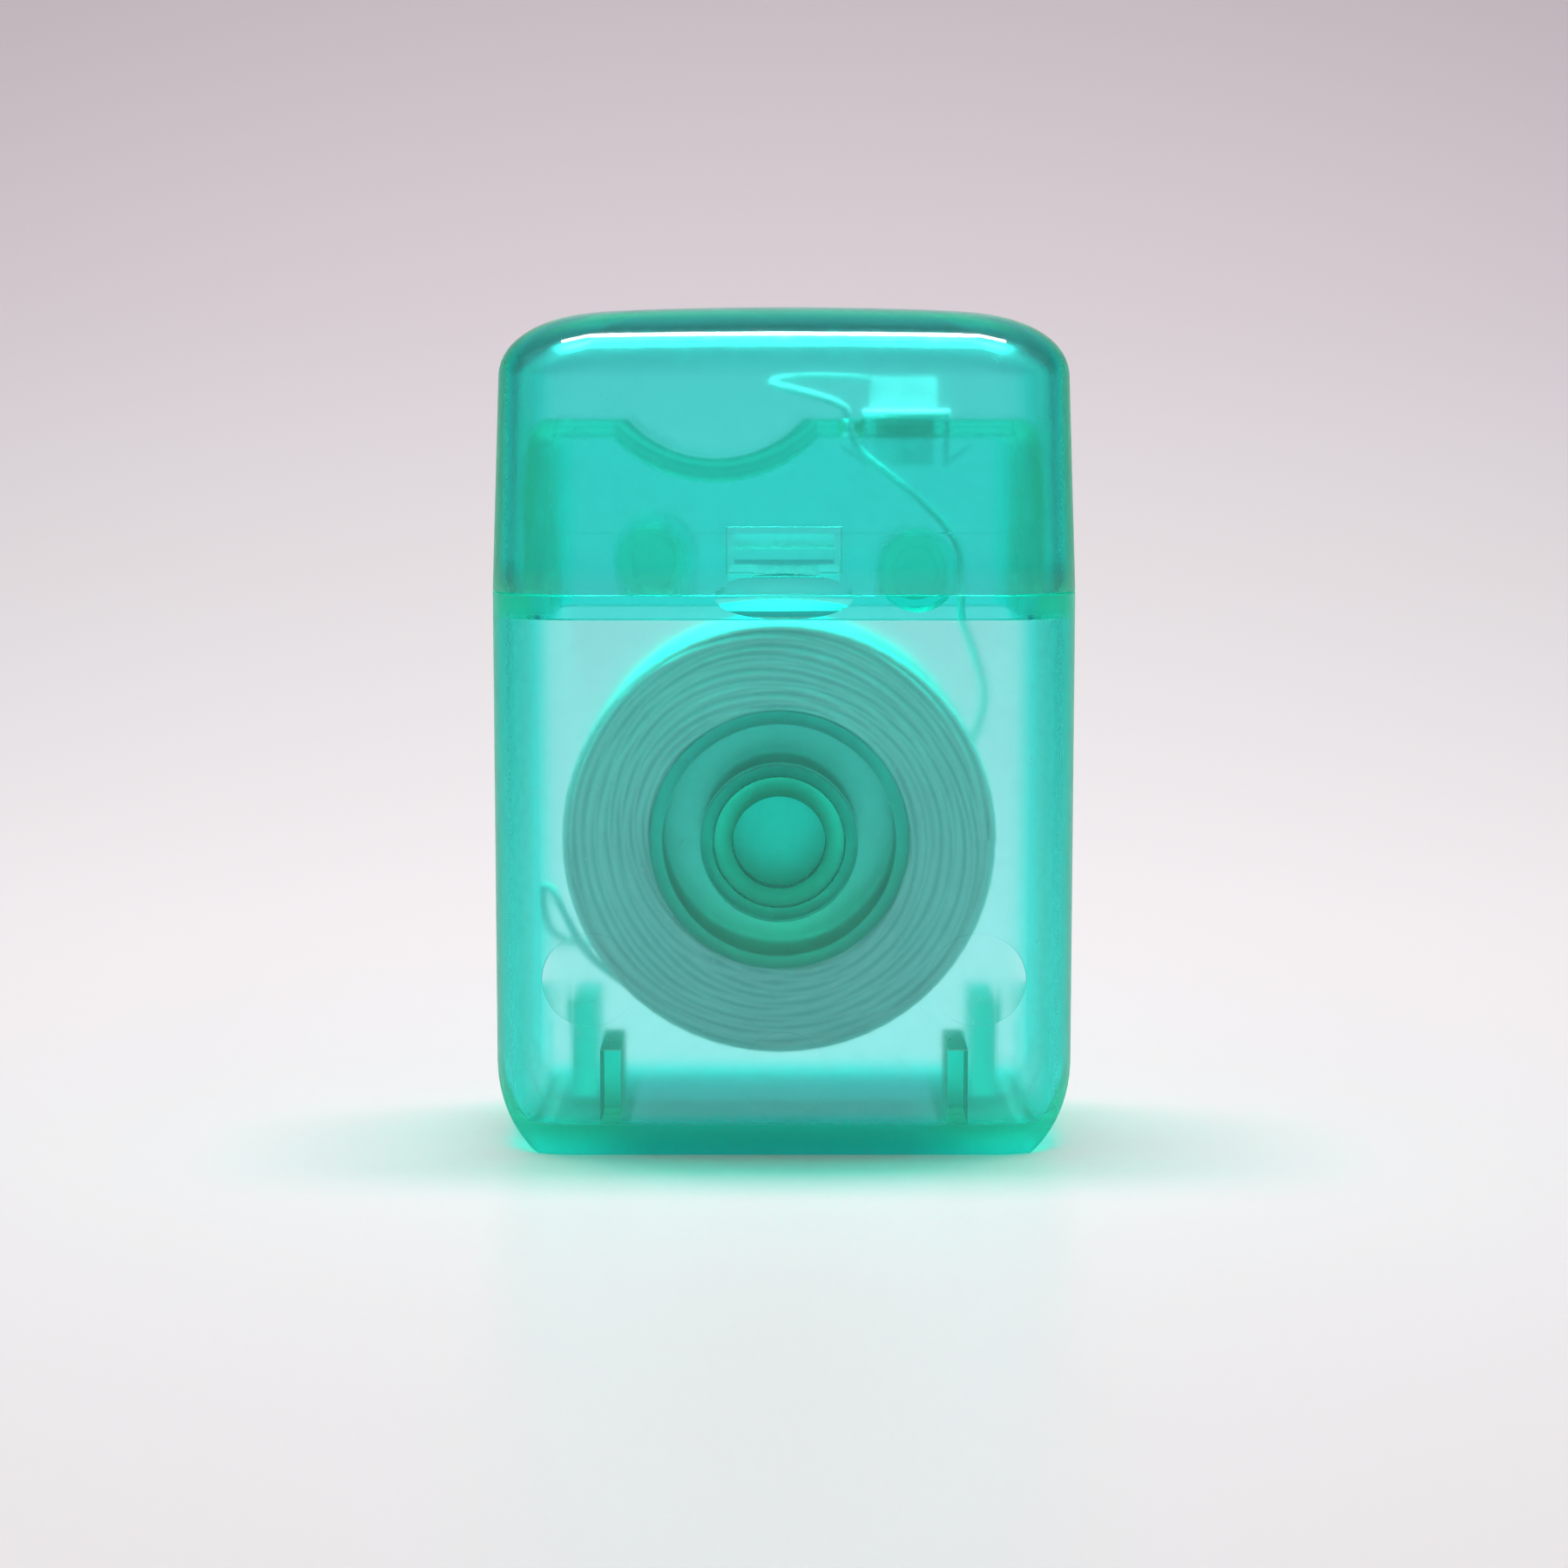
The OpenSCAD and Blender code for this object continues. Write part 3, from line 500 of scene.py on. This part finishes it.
def floss_material(name, tone):
    """Waxed floss: fine filaments along each strand, with painted shade in the grooves between the strands."""
    material, t = new_material(name)
    place = t.add("ShaderNodeUVMap")
    stretched = t.add("ShaderNodeMapping", {"Vector": place, "Scale": (9, 0.5, 1)})
    fibres = t.add("ShaderNodeTexNoise", {"Vector": stretched, "Scale": 3.0, "Detail": 4})
    spot = t.add("ShaderNodeTexCoord").outputs["Object"]
    patches = t.add("ShaderNodeTexNoise", {"Vector": spot, "Scale": 260.0, "Detail": 3})
    mixed = t.math("MULTIPLY", fibres, patches)
    ramp = t.ramp(mixed, (0.1, [c * 0.88 for c in tone]), (0.45, tone))
    # Painted shade: the floss is darker and less red in the grooves between the strands on the winding's sides.
    furrow_shade = t.add("ShaderNodeAttribute", attribute_name="furrow_shade").outputs["Fac"]
    shade = t.ramp(furrow_shade, (0.35, (1, 1, 1)), (1, (0.66, 0.8, 0.8)))
    ramp = t.add("ShaderNodeVectorMath", {0: ramp, 1: shade}, operation="MULTIPLY")
    rough = t.add("ShaderNodeMapRange", {"Value": fibres, "To Min": 0.3, "To Max": 0.55})
    bump = t.add("ShaderNodeBump", {"Height": fibres, "Strength": 0.4, "Distance": 0.05 * MM})
    shader = t.add("ShaderNodeBsdfPrincipled", {
        "Base Color": ramp, "Roughness": rough, "Normal": bump, "Sheen Weight": 0.15, "Coat Weight": 0.15,
        "Subsurface Weight": 0.25, "Subsurface Radius": (1, 1, 1), "Subsurface Scale": 0.8 * MM})
    t.add("ShaderNodeOutputMaterial", {"Surface": shader})
    return material


def steel_material(name, tone):
    """Rolled steel sheet with fine brushing from side to side."""
    material, t = new_material(name)
    place = t.add("ShaderNodeTexCoord").outputs["Object"]
    along = t.add("ShaderNodeMapping", {"Vector": place, "Scale": (0.03, 1, 1)})
    brush = t.add("ShaderNodeTexNoise", {"Vector": along, "Scale": 14000.0, "Detail": 3})
    cloud = t.add("ShaderNodeTexNoise", {"Vector": place, "Scale": 700.0, "Detail": 4})
    ramp = t.ramp(cloud, (0.3, [c * 0.9 for c in tone]), (0.7, tone))
    rough = t.add("ShaderNodeMapRange", {"Value": brush, "To Min": 0.25, "To Max": 0.42})
    bump = t.add("ShaderNodeBump", {"Height": brush, "Strength": 0.15, "Distance": 0.01 * MM})
    shader = t.add("ShaderNodeBsdfPrincipled", {"Base Color": ramp, "Metallic": 1, "Roughness": rough, "Normal": bump})
    t.add("ShaderNodeOutputMaterial", {"Surface": shader})
    return material


def paper_material(name):
    """Pale sweep with painted falloff of light: it darkens slowly with height, far to the sides and far ahead."""
    material, t = new_material(name)
    place = t.add("ShaderNodeTexCoord").outputs["Object"]
    parts = t.add("ShaderNodeSeparateXYZ", {"Vector": place})
    # Painted falloff: the sweep's colour darkens with height, far to the sides and far ahead, standing in for light
    # that weakens there.
    painted_height_falloff = t.ramp(t.fade(parts.outputs["Z"], 0.0, 0.4),
                    (0, (0.88, 0.86, 0.87)), (0.14, (0.78, 0.715, 0.75)), (0.3, (0.67, 0.585, 0.63)),
                    (0.36, (0.6, 0.515, 0.56)), (0.6, (0.46, 0.4, 0.43)))
    aside = t.fade(t.math("ABSOLUTE", parts.outputs["X"]), 0.16, 0.4)
    ahead = t.fade(parts.outputs["Y"], -0.16, -0.36)
    painted_far_falloff = t.ramp(t.math("MAXIMUM", aside, ahead), (0, (1, 1, 1)), (1, (0.82, 0.82, 0.83)))
    ramp = t.add("ShaderNodeVectorMath", {0: painted_height_falloff, 1: painted_far_falloff}, operation="MULTIPLY")
    grain = t.add("ShaderNodeTexNoise", {"Vector": place, "Scale": 900.0, "Detail": 3})
    bump = t.add("ShaderNodeBump", {"Height": grain, "Strength": 0.02, "Distance": 0.1 * MM})
    shader = t.add("ShaderNodeBsdfPrincipled", {"Base Color": ramp, "Roughness": 0.35, "Normal": bump})
    t.add("ShaderNodeOutputMaterial", {"Surface": shader})
    return material


def case_plastic():
    finish = bpy.context.scene.dispenser_finish
    return bpy.data.materials.get("case_plastic") or clear_plastic(
        "case_plastic", finish.case_density, finish.case_gloss, finish.satin, "skin")


def cap_plastic():
    finish = bpy.context.scene.dispenser_finish
    return bpy.data.materials.get("cap_plastic") or clear_plastic(
        "cap_plastic", finish.cap_density, finish.cap_gloss, finish.satin, "attribute", clearness=0.99)


def core_plastic():
    finish = bpy.context.scene.dispenser_finish
    return bpy.data.materials.get("core_plastic") or clear_plastic(
        "core_plastic", finish.core_density, finish.frost, finish.frost, "all", (0.4, 1.0, 0.95), 0.88)


def floss_finish():
    finish = bpy.context.scene.dispenser_finish
    return bpy.data.materials.get("waxed_floss") or floss_material("waxed_floss", finish.floss)


class DISPENSER_OT_case(bpy.types.Operator):
    """Give the two case shells and the spool's core their clear plastic"""
    bl_idname = "dispenser.case"
    bl_label = "Case shells and core"

    def execute(self, context):
        plastics = {"front_shell": case_plastic, "rear_shell": case_plastic, "spool_core": core_plastic}
        for node, plastic in plastics.items():
            frame["nodes"][node].material_slots[0].material = plastic()
        return {"FINISHED"}


def dome_share(rise, power):
    """How far in a ring of the dome lies, from how high it lies, both from 0 to 1."""
    return 1 - (1 - rise * rise) ** (1 / power)


class DISPENSER_OT_cap(bpy.types.Operator):
    """Model the flip cap with its dome, thumb dish, catch pocket and hinge leaf"""
    bl_idname = "dispenser.cap"
    bl_label = "Flip cap"

    def execute(self, context):
        size = context.scene.dispenser_cap
        low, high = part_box("flip_cap")
        width, depth = 2 * CASE_HALF, -2 * FRONT
        foot = low.z
        wall_top = high.z - size.dome_height
        top_lean = (wall_top - PARTING) * size.lean
        half = depth / 2 - top_lean

        deselect_all()
        bpy.ops.mesh.primitive_plane_add(size=1, location=(0, 0, foot))
        cap = bpy.context.object
        cap.scale = (width, depth, 1)
        settle(cap)
        start_edit(cap)
        bpy.ops.mesh.bevel(offset=size.edge_radius, segments=24, affect="VERTICES", clamp_overlap=False)
        bpy.ops.mesh.select_all(action="SELECT")
        bpy.ops.mesh.delete(type="ONLY_FACE")
        pick(cap, "EDGE", lambda e: e.calc_length() > 2 * size.wall)
        bpy.ops.mesh.subdivide(number_cuts=23)
        bpy.ops.mesh.select_all(action="SELECT")
        reach = Vector((width, depth))

        def ring(rise, wide, deep):
            bpy.ops.mesh.extrude_region_move(TRANSFORM_OT_translate={"value": (0, 0, rise)})
            bpy.ops.transform.resize(value=(wide / reach.x, deep / reach.y, 1), center_override=(0, 0, 0))
            reach.x, reach.y = wide, deep

        wall_steps = 6
        for i in range(wall_steps):
            lean = 2 * top_lean * (i + 1) / wall_steps
            ring((wall_top - foot) / wall_steps, width - lean, depth - lean)
        height = 0
        for i in range(1, size.steps + 1):
            share = 0.985 * (1 - math.cos(math.pi / 2 * i / size.steps))
            rise = size.dome_height * math.sqrt(1 - (1 - share) ** size.dome_power)
            inset = 2 * (top_lean + half * share)
            ring(rise - height, width - inset, depth - inset)
            height = rise
        bpy.ops.transform.resize(value=(1, 0, 1), center_override=(0, 0, 0))
        bpy.ops.mesh.select_all(action="SELECT")
        bpy.ops.mesh.remove_doubles(threshold=0.001 * MM)
        bpy.ops.mesh.dissolve_degenerate(threshold=0.001 * MM)
        bpy.ops.mesh.normals_make_consistent(inside=False)
        end_edit()
        for v in cap.data.vertices:
            rise = min(max((v.co.z - wall_top) / size.dome_height, 0), 1)
            v.co.z -= size.crown * dome_share(rise, size.dome_power) * (2 * v.co.x / width) ** 2
        skin = BVHTree.FromPolygons([v.co.copy() for v in cap.data.vertices],
                                    [tuple(p.vertices) for p in cap.data.polygons])
        apply(cap, "SOLIDIFY", thickness=size.wall, offset=-1, use_even_offset=True)
        start_edit(cap)
        pick(cap, "VERT", lambda v: v.co.z < foot + 0.3 * size.wall)
        bpy.ops.transform.resize(value=(1, 1, 0), center_override=(0, 0, foot))
        end_edit()

        leaf_low = PARTING + size.leaf_gap
        rear = -FRONT
        leaf = block((-size.leaf_width / 2, rear - 0.5 * size.wall, leaf_low),
                     (size.leaf_width / 2, rear + size.leaf_out, leaf_low + size.leaf_height))
        cut(cap, leaf, "UNION")
        disc = (size.dish_width ** 2 / 4 + size.dish_depth ** 2) / (2 * size.dish_depth)
        round_r = (size.dish_height ** 2 / 4 + size.dish_depth ** 2) / (2 * size.dish_depth)
        deselect_all()
        bpy.ops.mesh.primitive_torus_add(major_radius=disc - round_r, minor_radius=round_r, major_segments=320,
                                         minor_segments=64, location=(0, FRONT + size.dish_depth - disc, PARTING))
        cut(cap, bpy.context.object)
        pocket_low = PARTING + size.pocket_rise
        pocket = block((-size.pocket_width / 2, FRONT + size.wall - size.pocket_depth, pocket_low),
                       (size.pocket_width / 2, FRONT + size.wall + 1 * MM, pocket_low + size.pocket_height))
        cut(cap, pocket)
        apply(cap, "BEVEL", width=0.1 * MM, segments=2, limit_method="ANGLE", angle_limit=math.radians(50),
              use_clamp_overlap=True)
        smooth(cap)
        inner = cap.data.attributes.new("inner", "FLOAT", "POINT")
        for v, mark in zip(cap.data.vertices, inner.data):
            depth_here = skin.find_nearest(v.co)[3]
            level = min(max((depth_here / size.wall - 0.3) / 0.4, 0), 1)
            low_part = min(max((wall_top + 2.5 * MM - v.co.z) / (1.5 * MM), 0), 1)
            mark.value = level * low_part
        dress(cap, "cap", "cap", "clear_plastic", cap_plastic())
        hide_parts("flip_cap")
        return {"FINISHED"}


class DISPENSER_OT_hinge(bpy.types.Operator):
    """Model the thin film that joins the cap to the rear shell"""
    bl_idname = "dispenser.hinge"
    bl_label = "Film hinge"

    def execute(self, context):
        low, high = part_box("hinge_film")
        film = block(low, high)
        start_edit(film)
        pick(film, "EDGE", lambda e: abs(e.verts[0].co.z - e.verts[1].co.z) > (high.z - low.z) / 2)
        bpy.ops.mesh.subdivide(number_cuts=11)
        end_edit()
        for v in film.data.vertices:
            waist = 1 - abs((v.co.z - HINGE.z) / ((high.z - low.z) / 2))
            middle = (low.y + high.y) / 2
            v.co.y = middle + (v.co.y - middle) * (1 - 0.35 * max(waist, 0))
        smooth(film)
        dress(film, "film_hinge", None, "clear_plastic", cap_plastic())
        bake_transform(film)
        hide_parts("hinge_film")
        return {"FINISHED"}


class DISPENSER_OT_cutter(bpy.types.Operator):
    """Finish the steel cutter's bent sheet"""
    bl_idname = "dispenser.cutter"
    bl_label = "Cutter"

    def execute(self, context):
        finish = context.scene.dispenser_finish
        cutter = copy_of_node("cutter")
        apply(cutter, "BEVEL", width=0.03 * MM, segments=2, limit_method="ANGLE", angle_limit=math.radians(40))
        smooth(cutter)
        dress(cutter, "steel_cutter", "case", "steel", steel_material("rolled_steel", finish.steel))
        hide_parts("cutter")
        return {"FINISHED"}


def curve_through(points, steps):
    """A smooth curve through the points, as the CAD draws it."""
    path = []
    count = len(points)
    for i in range(count - 1):
        a, b, c, d = (Vector(points[k]) for k in (max(i - 1, 0), i, i + 1, min(i + 2, count - 1)))
        for k in range(steps):
            s = k / steps
            path.append(b + ((c - a) * s + (2 * a - 5 * b + 4 * c - d) * s ** 2
                             + (3 * b - a - 3 * c + d) * s ** 3) / 2)
    path.append(Vector(points[-1]))
    return path


def strand(shape, path, radius, sides, up, flat=1.0):
    """Adds a closed tube along the path to a bmesh, with a UV map along it."""
    uv = shape.loops.layers.uv.verify()
    rings = []
    along = [0.0]
    for i, at in enumerate(path):
        way = (path[min(i + 1, len(path) - 1)] - path[max(i - 1, 0)]).normalized()
        up = (up - up.dot(way) * way).normalized()
        side = up.cross(way)
        rings.append([shape.verts.new(at + radius * (flat * math.cos(a) * up + math.sin(a) * side))
                      for a in (2 * math.pi * j / sides for j in range(sides))])
        if i:
            along.append(along[-1] + (path[i] - path[i - 1]).length / (2 * radius))
    for i in range(len(rings) - 1):
        for j in range(sides):
            k = (j + 1) % sides
            face = shape.faces.new((rings[i][j], rings[i][k], rings[i + 1][k], rings[i + 1][j]))
            for loop, place in zip(face.loops, ((j, i), (j + 1, i), (j + 1, i + 1), (j, i + 1))):
                loop[uv].uv = (place[0] / sides, along[place[1]])
    shape.faces.new(reversed(rings[0]))
    shape.faces.new(rings[-1])


def object_from(shape, name):
    mesh = bpy.data.meshes.new(name)
    shape.to_mesh(mesh)
    shape.free()
    obj = bpy.data.objects.new(name, mesh)
    bpy.context.collection.objects.link(obj)
    return obj


def recalculate(obj):
    start_edit(obj)
    bpy.ops.mesh.select_all(action="SELECT")
    bpy.ops.mesh.normals_make_consistent(inside=False)
    end_edit()


class DISPENSER_OT_winding(bpy.types.Operator):
    """Wind the floss round the spool, with the strands showing on both sides"""
    bl_idname = "dispenser.winding"
    bl_label = "Wound floss"

    def execute(self, context):
        size = context.scene.dispenser_floss
        shape = bmesh.new()
        uv = shape.loops.layers.uv.verify()
        furrow_shade = shape.verts.layers.float.new("furrow_shade")
        radius = size.diameter / 2
        core = size.outer - 1.6 * radius
        around, across = 360, 88

        def side_point(r, angle, side):
            turn = angle / (2 * math.pi)
            x, z = math.cos(angle), math.sin(angle)
            wander = 0.6 * math.sin(2 * angle + 0.9 + side) + 0.4 * math.sin(3 * angle + r / MM)
            lone = noise.noise((2.2 * x, 2.2 * z, r / MM * 1.3 + 4 * side))
            first = 0.5 + 0.5 * math.cos(2 * math.pi * (r / size.ridge + turn * 2 + wander))
            shifted = r + 0.9 * MM * math.cos(angle - 1.1 - side)
            second = 0.5 + 0.5 * math.cos(2 * math.pi * (shifted / (1.7 * size.ridge) + turn))
            pile = max(first * (0.7 + 0.6 * lone), second * (0.7 - 0.9 * lone))
            sink = size.relief + 0.25 * MM * (0.5 + 0.5 * noise.noise((r / MM, 1.5 * x, 1.5 * z + 5.0 * side)))
            out = size.width / 2 - sink + size.relief * min(pile, 1)
            point = shape.verts.new(SPOOL_AXIS + Vector((r * x, side * out, r * z)))
            # How far the point lies in a groove between strands, which the floss material turns into painted shade.
            point[furrow_shade] = 1 - min(max(pile, 0), 1)
            return point

        rows = []
        for side in (-1, 1):
            radii = [size.inner + (core - size.inner) * k / across for k in range(across + 1)]
            if side == 1:
                radii.reverse()
            for r in radii:
                rows.append([side_point(r, 2 * math.pi * j / around, side) for j in range(around)])
        rows.append(rows[0])
        for i in range(len(rows) - 1):
            for j in range(around):
                k = (j + 1) % around
                face = shape.faces.new((rows[i][j], rows[i][k], rows[i + 1][k], rows[i + 1][j]))
                for loop, (u, v) in zip(face.loops, ((j, i), (j + 1, i), (j + 1, i + 1), (j, i + 1))):
                    loop[uv].uv = (v * 0.5, u / 3)
        for layer, hand in ((0, 1), (1, -1)):
            r = size.outer - radius - layer * 1.1 * radius
            steps = 60
            span = size.width - 2 * radius
            path = []
            for k in range(size.turns * steps + 1):
                angle = hand * 2 * math.pi * k / steps
                sway = 0.12 * MM * math.sin(3 * angle + k * 0.013)
                y = (k / (size.turns * steps) - 0.5) * (span - 0.24 * MM) + sway
                path.append(SPOOL_AXIS + Vector((r * math.cos(angle), y, r * math.sin(angle))))
            strand(shape, path, radius, 8, Vector((1, 0, 0)))
        winding = object_from(shape, "floss_winding")
        recalculate(winding)
        smooth(winding, 60)
        dress(winding, "floss_winding", "spool", "floss", floss_finish())
        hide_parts("floss_pack", "floss_turns")
        return {"FINISHED"}


class DISPENSER_OT_lead(bpy.types.Operator):
    """Lead the loose floss from the winding through the outlet to the cutter"""
    bl_idname = "dispenser.lead"
    bl_label = "Loose floss"

    def execute(self, context):
        size = context.scene.dispenser_floss
        shape = bmesh.new()
        strand(shape, curve_through(LEAD_ROUTE, 8), size.diameter / 2, 12, Vector((0, 1, 0)))
        lead = object_from(shape, "loose_floss")
        recalculate(lead)
        smooth(lead, 60)
        dress(lead, "loose_floss", "case", "floss", floss_finish())
        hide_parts("floss_lead")
        return {"FINISHED"}


class DISPENSER_OT_stage(bpy.types.Operator):
    """Set up the pale sweep, the lamp, the world and the camera"""
    bl_idname = "dispenser.stage"
    bl_label = "Stage"

    def execute(self, context):
        size = context.scene.dispenser_stage
        scene = context.scene
        deselect_all()
        bpy.ops.mesh.primitive_plane_add(size=1, location=(0, 0, 0))
        sweep = bpy.context.object
        sweep.scale = (3, 2 * (size.sweep_rear - size.sweep_radius), 1)
        settle(sweep)
        start_edit(sweep)
        rear = size.sweep_rear - size.sweep_radius
        pick(sweep, "EDGE", lambda e: min(v.co.y for v in e.verts) > rear - MM)
        bpy.ops.mesh.spin(steps=32, angle=-math.pi / 2, center=(0, rear, size.sweep_radius), axis=(1, 0, 0))
        pick(sweep, "EDGE", lambda e: min(v.co.z for v in e.verts) > size.sweep_radius - MM)
        bpy.ops.mesh.extrude_region_move(TRANSFORM_OT_translate={"value": (0, 0, 1.2)})
        pick(sweep, "EDGE", lambda e: max(v.co.y for v in e.verts) < -rear + MM)
        bpy.ops.mesh.extrude_region_move(TRANSFORM_OT_translate={"value": (0, -1.4, 0)})
        end_edit()
        smooth(sweep, 60)
        named(sweep, "sweep")
        sweep.data.materials.append(paper_material("pale_sweep"))

        lamp = bpy.data.lights.new("softbox", "AREA")
        lamp.shape = "RECTANGLE"
        lamp.size, lamp.size_y = size.softbox_width, size.softbox_depth
        lamp.energy = size.softbox_power
        box = bpy.data.objects.new("softbox", lamp)
        box.location = (0, size.softbox_back, size.softbox_height)
        box.rotation_euler = (-math.atan2(size.softbox_back, size.softbox_height), 0, 0)
        scene.collection.objects.link(box)

        world = bpy.data.worlds.new("studio")
        scene.world = world
        world.use_nodes = True
        t = Tree(world.node_tree)
        ray = t.add("ShaderNodeLightPath").outputs
        seen = t.math("MAXIMUM", ray["Is Camera Ray"], t.math("MULTIPLY", ray["Is Glossy Ray"], 0.3))
        seen = t.math("MAXIMUM", seen, ray["Is Transmission Ray"])
        fill = t.add("ShaderNodeBackground", {"Color": (*size.fill_colour, 1), "Strength": size.fill})
        pale = t.add("ShaderNodeBackground", {"Color": (*size.surroundings, 1), "Strength": 1.0})
        both = t.add("ShaderNodeMixShader", {0: seen, 1: fill, 2: pale})
        t.add("ShaderNodeOutputWorld", {"Surface": both})

        data = bpy.data.cameras.new("camera")
        data.sensor_width = 36
        data.lens = size.lens
        data.clip_start, data.clip_end = 0.01, 20
        camera = bpy.data.objects.new("camera", data)
        camera.location = (0, FRONT - size.camera_distance, size.camera_height)
        camera.rotation_euler = (math.pi / 2 - size.camera_pitch, 0, 0)
        scene.collection.objects.link(camera)
        scene.camera = camera
        scene.view_settings.view_transform = "Standard"
        scene.cycles.max_bounces = 32
        scene.cycles.diffuse_bounces = 8
        scene.cycles.glossy_bounces = 32
        scene.cycles.transmission_bounces = 32
        scene.cycles.transparent_max_bounces = 32
        return {"FINISHED"}


class DISPENSER_PT_panel(bpy.types.Panel):
    """Lists the dispenser's pieces and sizes"""
    bl_idname = "DISPENSER_PT_panel"
    bl_label = "Floss dispenser"
    bl_space_type = "VIEW_3D"
    bl_region_type = "UI"
    bl_category = "Dispenser"

    def draw(self, context):
        for operator in OPERATORS:
            self.layout.operator(operator.bl_idname)
        for name in GROUPS:
            box = self.layout.box()
            settings = getattr(context.scene, name)
            for key in settings.__annotations__:
                box.prop(settings, key)


GROUPS = {
    "dispenser_cap": CapSizes,
    "dispenser_floss": FlossSizes,
    "dispenser_finish": Finish,
    "dispenser_stage": StageSizes,
}
OPERATORS = (
    DISPENSER_OT_stage,
    DISPENSER_OT_case,
    DISPENSER_OT_cap,
    DISPENSER_OT_hinge,
    DISPENSER_OT_cutter,
    DISPENSER_OT_winding,
    DISPENSER_OT_lead,
)


def register():
    for cls in (*GROUPS.values(), *OPERATORS, DISPENSER_PT_panel):
        bpy.utils.register_class(cls)
    for name, cls in GROUPS.items():
        setattr(bpy.types.Scene, name, PointerProperty(type=cls))


def unregister():
    for name in GROUPS:
        delattr(bpy.types.Scene, name)
    for cls in reversed((*GROUPS.values(), *OPERATORS, DISPENSER_PT_panel)):
        bpy.utils.unregister_class(cls)


def main():
    register()
    bpy.ops.dispenser.stage()
    bpy.ops.dispenser.case()
    bpy.ops.dispenser.cap()
    bpy.ops.dispenser.hinge()
    bpy.ops.dispenser.cutter()
    bpy.ops.dispenser.winding()
    bpy.ops.dispenser.lead()


if __name__ == "__main__":
    main()
